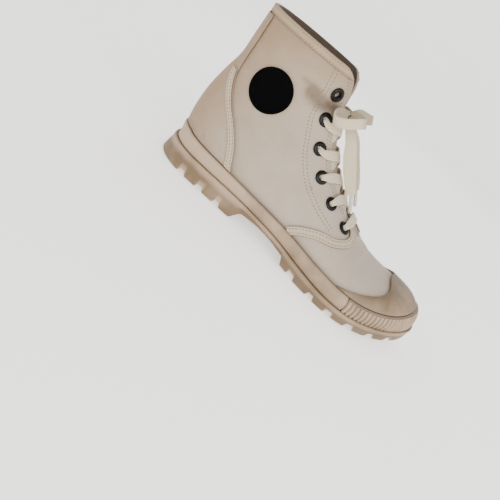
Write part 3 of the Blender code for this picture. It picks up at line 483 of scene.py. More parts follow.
def closed_spline(points, per_span=60):
    """Smooth closed curve through the given points, with its tangents."""
    p = np.asarray(points, float)
    n = len(p)
    span = np.linalg.norm(np.roll(p, -1, axis=0) - p, axis=1)
    matrix = np.zeros((n, n))
    target = np.zeros_like(p)
    for i in range(n):
        before, after = span[i - 1], span[i]
        matrix[i, i - 1] = after
        matrix[i, i] = 2 * (before + after)
        matrix[i, (i + 1) % n] = before
        target[i] = 3 * (after * (p[i] - p[i - 1]) / before + before * (p[(i + 1) % n] - p[i]) / after)
    slope = np.linalg.solve(matrix, target)
    u = np.linspace(0, 1, per_span, endpoint=False)[:, None]
    curve = []
    for i in range(n):
        j = (i + 1) % n
        curve.append(hermite(u, span[i], p[i], p[j], slope[i], slope[j]))
    curve = np.concatenate(curve)
    return curve, unit(np.roll(curve, -1, axis=0) - np.roll(curve, 1, axis=0))


def sole_curve():
    lateral = [(x, -width) for x, width, _ in SOLE_OUTLINE]
    medial = [(x, width) for x, _, width in reversed(SOLE_OUTLINE)]
    return closed_spline([HEEL_END, *lateral, TOE_END, *medial])


SOLE_CURVE, SOLE_TANGENT = sole_curve()
CENTRE = np.append((SOLE_CURVE.min(axis=0) - (HEEL_FLARE, 0.0) + SOLE_CURVE.max(axis=0)) / 2, 0.0)


def outline(inset):
    """Lateral and medial halves of the sole's plan, each from toe to heel, moved inwards."""
    outward = np.stack([SOLE_TANGENT[:, 1], -SOLE_TANGENT[:, 0]], axis=1)
    ring = SOLE_CURVE - inset * outward
    toe = np.argmin(np.linalg.norm(SOLE_CURVE - TOE_END, axis=1))
    lateral = ring[:toe + 1][::-1]
    medial = np.concatenate([ring[toe:], ring[:1]])
    return {"lateral": lateral, "medial": medial}


def band_share(points):
    """Height on the foxing band: 0 at the groove, 1 at its top."""
    low = groove(points[..., 0])
    return (points[..., 2] - low) / (foxing_top(points[..., 0]) - low)


def distance_to(points, route, steps=60):
    """Distance from points to a smooth line through a route."""
    best = np.full(points.shape[:-1], np.inf)
    for spot in through(route, steps):
        best = np.minimum(best, np.linalg.norm(points - spot, axis=-1))
    return best


def hill(distance, width):
    """Soft hill, 1 at its middle."""
    return np.exp(-(distance / width) ** 2)


def fading(distance, amount, reach):
    """An amount that dies away with distance."""
    return amount * np.exp(-np.clip(distance, 0, None) / reach)


class Last:
    """The outer surface of the upper: section s (toe 0 to collar) by share t (ridge 0 to foot or back 1)."""

    ROWS = 321
    COLUMNS = 81
    ANGLES = 120
    FOOT_SPREAD = 1.03      # a section is at least this much wider than its foot

    def __init__(self):
        self.s = np.linspace(0, COLLAR, self.ROWS)
        self.t = np.linspace(0, 1, self.COLUMNS)
        self.points = {side: self.half(side, sign) for side, sign in SIDES}
        self.refresh_normals()
        for side, _ in SIDES:
            sink = sum(depth * hill(distance_to(self.points[side], route), width)
                       for depth, width, _, route in CREASES)
            self.points[side] = self.points[side] - sink[..., None] * self.normals[side]
        self.refresh_normals()

    def refresh_normals(self):
        """Normals of both halves, shared on the ridge, down the toe and on the back seam."""
        self.normals = {}
        for side, sign in SIDES:
            p = self.points[side]
            self.normals[side] = unit(-sign * np.cross(np.gradient(p, axis=0), np.gradient(p, axis=1)))
        lateral, medial = self.normals["lateral"], self.normals["medial"]
        back = self.s >= HEEL_ROW
        for rows, columns in ((slice(None), 0), (0, slice(None)), (back, -1)):
            shared = unit(lateral[rows, columns] + medial[rows, columns])
            lateral[rows, columns] = shared
            medial[rows, columns] = shared

    def column(self, name, rows=slice(None), level_start=False):
        index = SECTION_COLUMNS.index(name)
        places = np.arange(len(SECTIONS))[rows]
        values = np.array(column(SECTIONS, index), float)[rows]
        return smooth(places, values, self.s, level_start)

    def half(self, side, sign):
        ridge = np.stack([self.column(axis, level_start=True) for axis in "xyz"], axis=1)
        width = self.column(side)
        depth = self.column("depth")
        power = 2 / self.column("square")
        bow = self.column("bow", level_start=True)
        foot_xy = along(outline(UPPER_INSET)[side], self.column("foot", slice(0, HEEL_ROW + 1)))
        foot_z = groove(foot_xy[:, 0]) + FOOT_GAP
        ridge[:, 1] += (foot_xy[0, 1] - ridge[0, 1]) * np.clip(1 - self.s / TIP_SECTIONS, 0, 1) ** 2
        back_rows = np.arange(HEEL_ROW, COLLAR + 1)
        back_height = [BACK_SEAM[0][0], *column(SECTIONS[HEEL_ROW + 1:], SECTION_COLUMNS.index("foot"))]
        back_z = smooth(back_rows, back_height, self.s)
        back_x = smooth(column(BACK_SEAM, 0), column(BACK_SEAM, 1), back_z)
        rows = []
        for i, s in enumerate(self.s):
            foot = np.array([foot_xy[i, 0], abs(foot_xy[i, 1] - ridge[i, 1]), foot_z[i]])
            if s > HEEL_ROW:
                foot = np.array([back_x[i], 0.0, back_z[i]])
            rows.append(self.section(ridge[i], foot, width[i], depth[i], power[i], bow[i], sign))
        return np.array(rows)

    def section(self, ridge, foot, width, depth, power, bow, sign):
        """Half of one section: out from the ridge to the widest point, then in to the foot."""
        width = max(width, foot[1] * self.FOOT_SPREAD, 1e-6)
        end = np.pi - np.arcsin(foot[1] / width)
        angle = np.linspace(0, end, self.ANGLES)
        upper_half = angle <= np.pi / 2
        sine = np.sin(angle).clip(0, 1) ** power
        cosine = np.abs(np.cos(angle)) ** power
        drop = np.where(upper_half, depth * (1 - cosine), depth + (1 - depth) * cosine / cosine[-1])
        out = width * sine
        out[~upper_half] = width - (width - foot[1]) * (1 - sine[~upper_half]) / max(1 - sine[-1], 1e-9)
        chord = np.array([foot[0] - ridge[0], foot[2] - ridge[2]])
        front = np.array([-chord[1], chord[0]]) / np.linalg.norm(chord)
        swell = bow * np.sin(np.pi * drop)
        x = ridge[0] + chord[0] * drop + front[0] * swell
        z = ridge[2] + chord[1] * drop + front[1] * swell
        return along(np.stack([x, ridge[1] + sign * out, z], axis=1), self.t)

    def sample(self, grid, s, t):
        u = np.clip(np.asarray(s, float) / COLLAR * (self.ROWS - 1), 0, self.ROWS - 1.000001)
        v = np.clip(np.asarray(t, float) * (self.COLUMNS - 1), 0, self.COLUMNS - 1.000001)
        i, j = u.astype(int), v.astype(int)
        a, b = (u - i)[..., None], (v - j)[..., None]
        return ((1 - a) * (1 - b) * grid[i, j] + a * (1 - b) * grid[i + 1, j]
                + (1 - a) * b * grid[i, j + 1] + a * b * grid[i + 1, j + 1])

    def at(self, side, s, t, offset=0.0):
        """Points on the surface, moved along its normal."""
        s, t = np.broadcast_arrays(np.asarray(s, float), np.asarray(t, float))
        return self.sample(self.points[side], s, t) + np.asarray(offset)[..., None] * self.normal(side, s, t)

    def normal(self, side, s, t):
        return unit(self.sample(self.normals[side], s, t))

    def length(self, side, s):
        """Arc from ridge to foot or back at each section."""
        rows = np.linalg.norm(np.diff(self.points[side], axis=1), axis=2).sum(axis=1)
        return np.interp(s, self.s, rows)

    def either(self, find, s, arc, *more):
        """What a method gives on the side that each arc lies on, lateral below zero and medial above."""
        s, arc, *more = np.broadcast_arrays(*(np.asarray(v, float) for v in (s, arc, *more)))
        lateral, medial = (find(side, s, np.abs(arc) / self.length(side, s), *more) for side, _ in SIDES)
        return np.where((arc < 0)[..., None], lateral, medial)

    def across(self, s, arc, offset=0.0):
        """Points by their arc from the ridge, moved along the normal."""
        return self.either(self.at, s, arc, offset)

    def across_normal(self, s, arc):
        return self.either(self.normal, s, arc)

    def place(self, side, x, z):
        """Section and share of the point that shows at x, z from the side."""
        p = self.points[side]
        near = np.argmin((p[..., 0] - x) ** 2 + (p[..., 2] - z) ** 2)
        i, j = np.unravel_index(near, p.shape[:2])
        s, t = self.s[i], self.t[j]
        small = 0.02
        for _ in range(4):
            here = self.at(side, s, t)[[0, 2]]
            by_s = (self.at(side, s + small, t)[[0, 2]] - here) / small
            by_t = (self.at(side, s, t + small / 10)[[0, 2]] - here) / (small / 10)
            step = np.linalg.lstsq(np.stack([by_s, by_t], axis=1), np.array([x, z]) - here, rcond=None)[0]
            s = np.clip(s + step[0], 0, COLLAR - small)
            t = np.clip(t + step[1], 0, 1 - small)
        return s, t

    def nearest(self, side, point):
        """Section and share of the surface's point nearest to a point beside it."""
        distance = ((self.points[side] - point) ** 2).sum(axis=2)
        i, j = np.unravel_index(np.argmin(distance), distance.shape)
        s, t = self.s[i], self.t[j]
        small = 0.01
        for _ in range(3):
            here = self.at(side, s, t)
            slopes = np.stack([self.at(side, s + small, t) - here,
                               self.at(side, s, t + small) - here], axis=1) / small
            step = np.linalg.lstsq(slopes, point - here, rcond=None)[0]
            s = np.clip(s + step[0], 0, COLLAR - small)
            t = np.clip(t + step[1], 0, 1 - small)
        return s, t

    def contour(self, side, field, level):
        """Line on the surface where a field that falls from ridge to foot has one value, toe to heel."""
        height = field(self.points[side])
        found = []
        for i, s in enumerate(self.s):
            below = np.nonzero(height[i] < level)[0]
            if len(below) == 0:
                if s > HEEL_ROW:
                    break
                continue
            j = below[0]
            if j == 0:
                continue
            share = (height[i, j - 1] - level) / (height[i, j - 1] - height[i, j])
            found.append((s, self.t[j - 1] + share * (self.t[j] - self.t[j - 1])))
        heel = np.nonzero(self.s >= HEEL_ROW)[0]
        found.append((np.interp(level, height[heel, -1], self.s[heel]), 1.0))
        s, t = np.array(found).T
        return s, t, self.at(side, s, t)

    def ring(self, side, level):
        """Line round the foot at a share of the foxing band's height, from toe to heel."""
        if level == 0:
            s = self.s[self.s <= HEEL_ROW]
            t = np.ones_like(s)
            return s, t, self.at(side, s, t)
        return self.contour(side, band_share, level)


LAST = Last()


def throat_edge(s):
    """Arc from the ridge to the facing's edge: a round slot end, and a round corner at the collar."""
    s = np.asarray(s, float)
    ridge = arc_length(LAST.points["lateral"][:, 0])
    up = np.interp(s, LAST.s, ridge) - np.interp(THROAT_BASE, LAST.s, ridge)
    slot = np.clip(up / THROAT_HALF_GAP, 0, 1)
    edge = np.where(up > 0, THROAT_HALF_GAP * np.sqrt(1 - (1 - slot) ** 2), 0.0)
    to_collar = ridge[-1] - np.interp(s, LAST.s, ridge)
    edge = edge + THROAT_SPREAD * np.sin(np.pi * np.clip(up / (up + to_collar), 0, 1)) ** 2
    corner = np.clip(1 - to_collar / COLLAR_CORNER, 0, 1)
    return edge + COLLAR_CORNER * (1 - np.sqrt(1 - corner ** 2))


def eyelet_arc(s):
    """Arc from the ridge to the line of eyelets, which keeps its distance from the facing's edge."""
    return throat_edge(np.minimum(s, EYELET_STRAIGHT)) + EYELET_FROM_EDGE


def eyelet_places():
    """Section of each eyelet, lowest first, evenly spaced up the facing."""
    s = np.linspace(THROAT_BASE, COLLAR, 400)
    up = EYELET_FIRST + EYELET_PITCH * np.arange(EYELET_COUNT)
    return np.interp(up, arc_length(LAST.across(s, -eyelet_arc(s))), s)


# ---------------------------------------------------------------- meshes

MERGE_DISTANCE = 0.02
INSIDE_POINT = (120.0, 0.0, 45.0)   # inside the boot: an open surface faces away from it
# Rounded edges: segments, angle in degrees from which an edge is rounded
CLOTH_EDGE = (3, 50)
LUG_EDGE = (2, 40)
# How far each piece's edges are rounded
UPPER_ROUNDING = 0.5
TONGUE_ROUNDING = 1.0
INSOLE_ROUNDING = 0.8
CAP_ROUNDING = 0.8
COUNTER_ROUNDING = 0.3
TAPE_ROUNDING = 0.35


def plain_mesh(name, points, faces, uv=None, marks=None):
    """Smooth mesh in the frame's metres, with its coordinates on the cloth, and its dirt and wear
    stored on it, along with painted shade and a painted highlight.
    """
    mesh = bpy.data.meshes.new(name)
    mesh.from_pydata(((points - CENTRE) * MM).tolist(), [], faces)
    if uv is not None:
        corners = np.empty(len(mesh.loops), int)
        mesh.loops.foreach_get("vertex_index", corners)
        mesh.uv_layers.new(name="UVMap").data.foreach_set("uv", uv[corners].ravel())
    for label, values in (marks or {}).items():
        spread = np.broadcast_to(values, points.shape[:1] if np.ndim(values) == 0 else np.shape(values))
        layer = mesh.attributes.new(label, "FLOAT", "POINT")
        layer.data.foreach_set("value", np.ascontiguousarray(spread, np.float32).ravel())
    work = bmesh.new()
    work.from_mesh(mesh)
    bmesh.ops.remove_doubles(work, verts=work.verts, dist=MERGE_DISTANCE * MM)
    loose = [v for v in work.verts if not v.link_faces]
    bmesh.ops.delete(work, geom=loose, context="VERTS")
    bmesh.ops.recalc_face_normals(work, faces=work.faces)
    inside = (np.array(INSIDE_POINT) - CENTRE) * MM
    closed = all(edge.is_manifold for edge in work.edges)
    outward = work.calc_volume(signed=True) if closed else sum(
        (np.array(f.calc_center_median()) - inside) @ np.array(f.normal) * f.calc_area() for f in work.faces)
    if outward < 0:
        bmesh.ops.reverse_faces(work, faces=work.faces)
    work.to_mesh(mesh)
    work.free()
    mesh.shade_smooth()
    return mesh


def grid_mesh(name, points, uv=None, skip=None, **marks):
    """Open surface through rows of points."""
    rows, columns = points.shape[:2]
    index = np.arange(rows * columns).reshape(rows, columns)
    faces = np.stack([index[:-1, :-1], index[:-1, 1:], index[1:, 1:], index[1:, :-1]], axis=-1)
    if skip is not None:
        faces = faces[~skip]
    if uv is None:
        uv = cloth_uv(points)
    return plain_mesh(name, points.reshape(-1, 3), faces.reshape(-1, 4).tolist(), uv.reshape(-1, 2), marks)


def cloth_uv(points):
    """Millimetres along and across a grid, measured on its middle row and column."""
    rows, columns = points.shape[:2]
    down = arc_length(points[:, columns // 2])
    over = arc_length(points[rows // 2])
    return np.stack(np.meshgrid(down, over, indexing="ij"), axis=-1)


def loft_mesh(name, loops, uv=None, round_trip=False, open_end=False, **marks):
    """Tube through loops of points, capped at its ends unless it comes back to its start or is left open."""
    loops = np.asarray(loops)
    rings, count = loops.shape[:2]
    index = np.arange(rings * count).reshape(rings, count)
    following = np.roll(index, -1, axis=1)
    upper = np.roll(index, -1, axis=0)
    upper_following = np.roll(following, -1, axis=0)
    last = rings if round_trip else rings - 1
    faces = np.stack([index, following, upper_following, upper], axis=-1)[:last].reshape(-1, 4).tolist()
    if not round_trip:
        faces += [index[0, ::-1].tolist()] + ([] if open_end else [index[-1].tolist()])
    flat_uv = None if uv is None else uv.reshape(-1, 2)
    return plain_mesh(name, loops.reshape(-1, 3), faces, flat_uv, marks)


def shown(name, data):
    """New object in the scene."""
    item = bpy.data.objects.new(name, data)
    bpy.context.scene.collection.objects.link(item)
    return item


def piece(name, mesh, material, slot, *nodes):
    """Show a mesh as a piece of the boot that stands for CAD nodes."""
    item = shown(name, mesh)
    mesh.materials.clear()
    mesh.materials.append(material)
    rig.ride(item, "root")
    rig.slot(item, slot)
    if nodes:
        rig.replaces(item, *nodes)
    return item


def round_edges(item, width, segments, angle):
    """Round the edges that are sharper than an angle."""
    bevel = item.modifiers.new("Round edges", "BEVEL")
    bevel.width = width * MM
    bevel.segments = segments
    bevel.limit_method = "ANGLE"
    bevel.angle_limit = np.radians(angle)


def thicken(item, thickness, side, edge):
    """Give a surface its thickness, outwards for 1 and inwards for -1, and round its edges."""
    solid = item.modifiers.new("Thickness", "SOLIDIFY")
    solid.thickness = thickness * MM
    solid.offset = side
    solid.use_even_offset = False
    round_edges(item, edge, *CLOTH_EDGE)
    return solid


def settled(item):
    """Replace an object's modifiers by the plain mesh they make."""
    bpy.context.view_layer.update()
    graph = bpy.context.evaluated_depsgraph_get()
    made = bpy.data.meshes.new_from_object(item.evaluated_get(graph))
    item.modifiers.clear()
    item.data = made
    return item


# ---------------------------------------------------------------- node trees

def put(tree, kind, inputs=None, **settings):
    """Add one node with its settings; each input is a value, or the socket it is linked from."""
    node = tree.nodes.new(kind)
    for name, value in settings.items():
        setattr(node, name, value)
    for name, value in (inputs or {}).items():
        if isinstance(value, bpy.types.NodeSocket):
            tree.links.new(value, node.inputs[name])
        else:
            node.inputs[name].default_value = value
    return node


def geometry_tree(name, sockets):
    """Empty geometry tree with named inputs."""
    tree = bpy.data.node_groups.new(name, "GeometryNodeTree")
    tree.interface.new_socket("Geometry", in_out="INPUT", socket_type="NodeSocketGeometry")
    tree.interface.new_socket("Geometry", in_out="OUTPUT", socket_type="NodeSocketGeometry")
    for label, kind in sockets:
        tree.interface.new_socket(label, in_out="INPUT", socket_type=kind)
    return tree, put(tree, "NodeGroupInput").outputs


def end_tree(tree, geometry, material):
    """Realize what a tree has made, give it its material and send it out."""
    real = put(tree, "GeometryNodeRealizeInstances", {"Geometry": geometry}).outputs["Geometry"]
    dressed = put(tree, "GeometryNodeSetMaterial", {"Geometry": real, "Material": material})
    put(tree, "NodeGroupOutput", {"Geometry": dressed.outputs["Geometry"]})
    return tree


def facing(tree, along_way):
    """Rotation with X along a way and Z along the stored normal."""
    normal = put(tree, "GeometryNodeInputNamedAttribute", {"Name": "normal"}, data_type="FLOAT_VECTOR")
    lengthwise = put(tree, "FunctionNodeAlignRotationToVector", {"Vector": along_way}, axis="X")
    return put(tree, "FunctionNodeAlignRotationToVector",
               {"Rotation": lengthwise.outputs["Rotation"], "Vector": normal.outputs["Attribute"]},
               axis="Z", pivot_axis="X").outputs["Rotation"]


def stitch_tree():
    """Thread stitches along lines."""
    tree, given = geometry_tree("Stitches along lines", (
        ("Pitch", "NodeSocketFloat"), ("Stitch Size", "NodeSocketVector"),
        ("Material", "NodeSocketMaterial")))
    lines = put(tree, "GeometryNodeMeshToCurve", {"Mesh": given["Geometry"]}).outputs["Curve"]
    even = put(tree, "GeometryNodeResampleCurve", {"Curve": lines, "Length": given["Pitch"]}, mode="LENGTH")
    thread = put(tree, "GeometryNodeMeshUVSphere", {"Segments": 8, "Rings": 5, "Radius": 0.5})
    tangent = put(tree, "GeometryNodeInputTangent").outputs["Tangent"]
    copies = put(tree, "GeometryNodeInstanceOnPoints", {
        "Points": even.outputs["Curve"], "Instance": thread.outputs["Mesh"],
        "Rotation": facing(tree, tangent), "Scale": given["Stitch Size"]})
    return end_tree(tree, copies.outputs["Instances"], given["Material"])


def rib_tree():
    """Round ribs along lines, thin at their ends."""
    tree, given = geometry_tree("Ribs along lines", (
        ("Radius", "NodeSocketFloat"), ("Material", "NodeSocketMaterial")))
    lines = put(tree, "GeometryNodeMeshToCurve", {"Mesh": given["Geometry"]}).outputs["Curve"]
    swell = put(tree, "GeometryNodeInputNamedAttribute", {"Name": "swell"}, data_type="FLOAT")
    sized = put(tree, "GeometryNodeSetCurveRadius", {"Curve": lines, "Radius": swell.outputs["Attribute"]})
    ring = put(tree, "GeometryNodeCurvePrimitiveCircle", {"Resolution": 8, "Radius": given["Radius"]})
    bars = put(tree, "GeometryNodeCurveToMesh", {
        "Curve": sized.outputs["Curve"], "Profile Curve": ring.outputs["Curve"], "Fill Caps": True})
    return end_tree(tree, bars.outputs["Mesh"], given["Material"])


def copies_tree():
    """One shape at every point."""
    tree, given = geometry_tree("Copies on points", (
        ("Shape", "NodeSocketObject"), ("Material", "NodeSocketMaterial")))
    shape = put(tree, "GeometryNodeObjectInfo", {"Object": given["Shape"]}).outputs["Geometry"]
    way = put(tree, "GeometryNodeInputNamedAttribute", {"Name": "way"}, data_type="FLOAT_VECTOR")
    copies = put(tree, "GeometryNodeInstanceOnPoints", {
        "Points": given["Geometry"], "Instance": shape,
        "Rotation": facing(tree, way.outputs["Attribute"])})
    return end_tree(tree, copies.outputs["Instances"], given["Material"])


def grown(name, lines, attributes, tree, settings):
    """Plain mesh of what a geometry tree makes on lines of points."""
    points = np.concatenate(lines)
    edges, start = [], 0
    for line in lines:
        edges += [(k, k + 1) for k in range(start, start + len(line) - 1)]
        start += len(line)
    mesh = bpy.data.meshes.new(name)
    mesh.from_pydata(((points - CENTRE) * MM).tolist(), edges, [])
    for label, rows in attributes.items():
        values = np.concatenate(rows).astype(np.float32)
        vector = values.ndim > 1
        layer = mesh.attributes.new(label, "FLOAT_VECTOR" if vector else "FLOAT", "POINT")
        layer.data.foreach_set("vector" if vector else "value", values.ravel())
    item = shown(name, mesh)
    modifier = item.modifiers.new(tree.name, "NODES")
    modifier.node_group = tree
    for socket in tree.interface.items_tree:
        if socket.in_out == "INPUT" and socket.name in settings:
            modifier[socket.identifier] = settings[socket.name]
    made = settled(item).data
    bpy.data.objects.remove(item)
    made.shade_smooth()
    return made


# ---------------------------------------------------------------- materials

WAVE_TURNS = 2 * np.pi / 20     # the wave texture has 20 radians in one unit
# Patches of worn cloth and rubber, ragged spots of dirt and painted shade, and the rubber's
# grain, in millimetres.
# The grain is drawn coarser than a real one, so that it shows at all.
CLOTH_PATCH = 16.0
RUBBER_PATCH = 22.0
DIRT_AND_SHADE_SPOT = 2.5
RUBBER_GRAIN = 0.9


def finish_of(name, inputs):
    """New material, its tree and its shader with constant inputs set."""
    material = bpy.data.materials.new(name)
    material.use_nodes = True
    shader = material.node_tree.nodes["Principled BSDF"]
    for socket, value in inputs.items():
        shader.inputs[socket].default_value = value
    return material, material.node_tree, shader


def colour_of(name):
    return (*getattr(bpy.context.scene.boot_colours, name), 1.0)


def stained(tree, clean, shade, patch, drift_share):
    """Colour that drifts between two tones in patches of some millimetres, and darkens with stored dirt
    and painted shade.
    """
    place = put(tree, "ShaderNodeTexCoord").outputs["Object"]
    drift = put(tree, "ShaderNodeTexNoise", {"Vector": place, "Scale": 1 / (patch * MM), "Detail": 4.0})
    spread = put(tree, "ShaderNodeMapRange", {
        "Value": drift.outputs[0], "From Min": 0.3, "From Max": 0.7, "To Min": -drift_share,
        "To Max": drift_share}).outputs[0]
    worn_and_highlit = put(tree, "ShaderNodeAttribute", attribute_name="wear").outputs["Fac"]
    share = put(tree, "ShaderNodeMath", {0: spread, 1: worn_and_highlit}, operation="ADD", use_clamp=True).outputs[0]
    tone = put(tree, "ShaderNodeMix", {0: share, 6: colour_of(clean), 7: colour_of(shade)},
               data_type="RGBA").outputs[2]
    broken = put(tree, "ShaderNodeTexNoise", {"Vector": place, "Scale": 1 / (DIRT_AND_SHADE_SPOT * MM), "Detail": 6.0})
    # The stored mask holds dirt and painted shade alike, both mixed towards the dirt colour.
    dirt_and_shade = put(tree, "ShaderNodeAttribute", attribute_name="soil").outputs["Fac"]
    ragged = put(tree, "ShaderNodeMapRange", {"Value": broken.outputs[0], "To Min": 0.8, "To Max": 1.2})
    amount = put(tree, "ShaderNodeMath", {0: dirt_and_shade, 1: ragged.outputs[0]}, operation="MULTIPLY",
                 use_clamp=True)
    return put(tree, "ShaderNodeMix", {0: amount.outputs[0], 6: tone, 7: colour_of("dirt_and_shade")},
               data_type="RGBA").outputs[2]


def woven(name, clean, shade, pitch, relief):
    """Plain-woven cotton, with painted shade between its threads. Threads are drawn coarser than real
    ones, so that the weave shows at all.
    """
    material, tree, shader = finish_of(name, {"Roughness": 0.92, "IOR": 1.45, "Sheen Weight": 0.12})
    cloth = put(tree, "ShaderNodeUVMap", uv_map="UVMap").outputs["UV"]
    warp, weft = (put(tree, "ShaderNodeTexWave", {
        "Vector": cloth, "Scale": WAVE_TURNS / size, "Distortion": 0.6}, bands_direction=way).outputs[1]
        for size, way in zip(pitch, "XY"))
    weave = put(tree, "ShaderNodeMath", {0: warp, 1: weft}, operation="MULTIPLY").outputs[0]
    tone = stained(tree, clean, shade, CLOTH_PATCH, 0.14)
    # Painted shade: the colour darkens in the hollows between the threads.
    depth = put(tree, "ShaderNodeMapRange", {"Value": weave, "To Min": 0.86, "To Max": 1.06}).outputs[0]
    lit = put(tree, "ShaderNodeMix", {0: 1.0, 6: tone, 7: depth}, data_type="RGBA", blend_type="MULTIPLY")
    bump = put(tree, "ShaderNodeBump", {"Height": weave, "Strength": 0.6, "Distance": relief * MM})
    tree.links.new(lit.outputs[2], shader.inputs["Base Color"])
    tree.links.new(bump.outputs["Normal"], shader.inputs["Normal"])
    return material


def canvas():
    """Plain-woven cotton, worn: dull and pale, with a fine square weave, a yellowed heel,
    and folds browned by dirt and painted shade.
    """
    return woven("Cotton canvas", "canvas", "canvas_shade", (1.1, 1.1), 0.22)


def webbing():
    """Woven cotton tape: paler and closer than the canvas, dark at its edges and along its stitches
    with dirt and painted shadow.
    """
    return woven("Cotton tape", "tape", "canvas_shade", (0.9, 1.3), 0.2)


def lace_cotton():
    """Flat braided cotton: cream and dull, with soft ridges along and across."""
    return woven("Braided cotton lace", "lace", "lace_shade", (2.0, 1.4), 0.5)


def lining():
    """Woven cotton, dyed dull brown and darkened further as painted shade, so that the inside reads as
    a deep hollow.
    """
    return woven("Cotton lining", "lining", "lining_shade", (0.9, 0.9), 0.15)


def thread():
    """Spun polyester: brown stitches with a faint sheen on the paler cloth."""
    return finish_of("Polyester thread", {
        "Base Color": colour_of("thread"), "Roughness": 0.7, "IOR": 1.55, "Sheen Weight": 0.1})[0]


def rubber():
    """Vulcanised in a mould: satin and finely grained, browned in patches and dark in its joints."""
    material, tree, shader = finish_of("Vulcanised rubber", {
        "Roughness": 0.58, "IOR": 1.52, "Specular IOR Level": 0.4})
    tone = stained(tree, "rubber", "rubber_shade", RUBBER_PATCH, 0.3)
    place = put(tree, "ShaderNodeTexCoord").outputs["Object"]
    grain = put(tree, "ShaderNodeTexNoise", {
        "Vector": place, "Scale": 1 / (RUBBER_GRAIN * MM), "Detail": 3.0})
    bump = put(tree, "ShaderNodeBump", {"Height": grain.outputs[0], "Strength": 0.25, "Distance": 0.25 * MM})
    tree.links.new(tone, shader.inputs["Base Color"])
    tree.links.new(bump.outputs["Normal"], shader.inputs["Normal"])
    return material


def enamel():
    """Baked on metal: smooth black, with small clear highlights on the round rims."""
    return finish_of("Black enamelled metal", {
        "Base Color": colour_of("eyelet"), "Roughness": 0.3, "IOR": 1.5, "Specular IOR Level": 0.2})[0]


def badge_rubber():
    """Moulded matt: a black that throws back almost no light."""
    return finish_of("Black moulded rubber", {
        "Base Color": colour_of("badge"), "Roughness": 0.8, "IOR": 1.52, "Specular IOR Level": 0.03})[0]


def acetate():
    """Film rolled round the tip of a lace: pale, half clear and glossy."""
    return finish_of("Clear acetate", {
        "Base Color": colour_of("aglet"), "Roughness": 0.2, "IOR": 1.48, "Coat Weight": 0.6,
        "Transmission Weight": 0.25})[0]


MADE = {}


def look(maker):
    """The material a maker gives, made once."""
    if maker not in MADE:
        MADE[maker] = maker()
    return MADE[maker]


# ---------------------------------------------------------------- dirt and painted shade

# How dirt and yellowing fade: amount where they start, reach in millimetres
FOXING_SOIL = (0.5, 2.5)
COLLAR_SOIL = (0.35, 9)
HEEL_SOIL = (0.22, 40)
HEEL_YELLOWING = (1.1, 45)
COLLAR_YELLOWING = (0.65, 26)
TOP_HEIGHT = 158
# Dirt in a rubber band's joints: amount, reach as a share of its height
BAND_FOOT_SOIL = (0.6, 0.03)
BAND_TOP_SOIL = (0.5, 0.04)
# Dirt and painted shadow across a tape: reach at its edges, reach and amount of painted shade
# at a row of stitches, in shares of its width
TAPE_EDGE_REACH = 0.06
HOLE_REACH = 0.05
HOLE_SHADE = 0.12


def canvas_soil(points):
    """Dirt of the canvas above the foxing band, round the collar and heel and in scuffs,
    and dirt with painted shade in the creases.
    """
    x, z = points[..., 0], points[..., 2]
    low = fading(z - foxing_top(x), *FOXING_SOIL)
    high = fading(TOP_HEIGHT - z, *COLLAR_SOIL) + fading(x, *HEEL_SOIL)
    # The creases' troughs are darkened with dirt and painted shade.
    folds = sum(dirt_and_shade * hill(distance_to(points, route), width) for _, width, dirt_and_shade, route in CREASES)
    scuffs = sum(dirt_and_shade * hill(np.linalg.norm(points - spot, axis=-1), radius)
                 for *spot, radius, dirt_and_shade in SCUFFS)
    return np.clip(low + high + folds + scuffs, 0, 1)


def canvas_wear(points):
    """How far the canvas has yellowed: most at the heel, the back and the collar."""
    x, z = points[..., 0], points[..., 2]
    return np.clip(fading(x, *HEEL_YELLOWING) + fading(TOP_HEIGHT - z, *COLLAR_YELLOWING), 0, 1)


def row_soil(places, rows):
    """Dirt and painted shadow at a tape's edges, and painted shade in the needle holes along
    its rows of stitches, by their place across the tape.
    """
    edges = hill(places, TAPE_EDGE_REACH) + hill(1 - places, TAPE_EDGE_REACH)
    return np.clip(edges + sum(HOLE_SHADE * hill(places - row, HOLE_REACH) for row in rows), 0, 1)


def band_soil(levels, count):
    """Dirt of a rubber band: in the joints at its lower and upper edge."""
    levels = np.asarray(levels)
    return np.tile(fading(levels, *BAND_FOOT_SOIL) + fading(1 - levels, *BAND_TOP_SOIL), (count, 1))


# ---------------------------------------------------------------- rubber parts

RINGS = {}


def ring_point(side, level, share, offset):
    """Point on a line round the foot, at a share of its length from toe to heel."""
    if (side, level) not in RINGS:
        RINGS[side, level] = LAST.ring(side, level)
    s, t, points = RINGS[side, level]
    length = arc_length(points)
    at_s = np.interp(share * length[-1], length, s)
    at_t = np.interp(share * length[-1], length, t)
    return LAST.at(side, at_s, at_t, offset)


def side_band(shares, inner, outer):
    """Loops round a band on the sole's rim: (level, offset) pairs up the inner side and down the outer."""
    loops = []
    for side, share in shares:
        loop = []
        for level, offset in (*inner, *outer):
            point = ring_point(side, level, share, offset)
            if level == 0:
                point[2] = groove(point[0]) + GAP
            loop.append(point)
        loops.append(loop)
    return np.array(loops)


def there_and_back(half):
    """Stations from one end of a band on the lateral side round to the other on the medial side."""
    return [("lateral", v) for v in half] + [("medial", v) for v in half[-2::-1]]


# Bands from their top down: share of the foxing's height, distance from the upper
FOXING_PROFILE = (
    (1.0, 1.9), (0.975, 2.6), (0.93, 3.1), (0.85, 3.3), (0.6, 3.3), (0.35, 3.3), (0.14, 3.3), (0.05, 3.1),
    (0.0, 2.7))
BUMPER_PROFILE = (
    (1.0, 2.3), (0.96, 2.6), (0.9, 2.8), (0.7, 2.8), (0.45, 2.8), (0.2, 2.8), (0.06, 2.7), (0.0, 2.5))
BAND_INNER = ((0.0, OVERLAY_GAP), (0.5, OVERLAY_GAP), (1.0, OVERLAY_GAP))
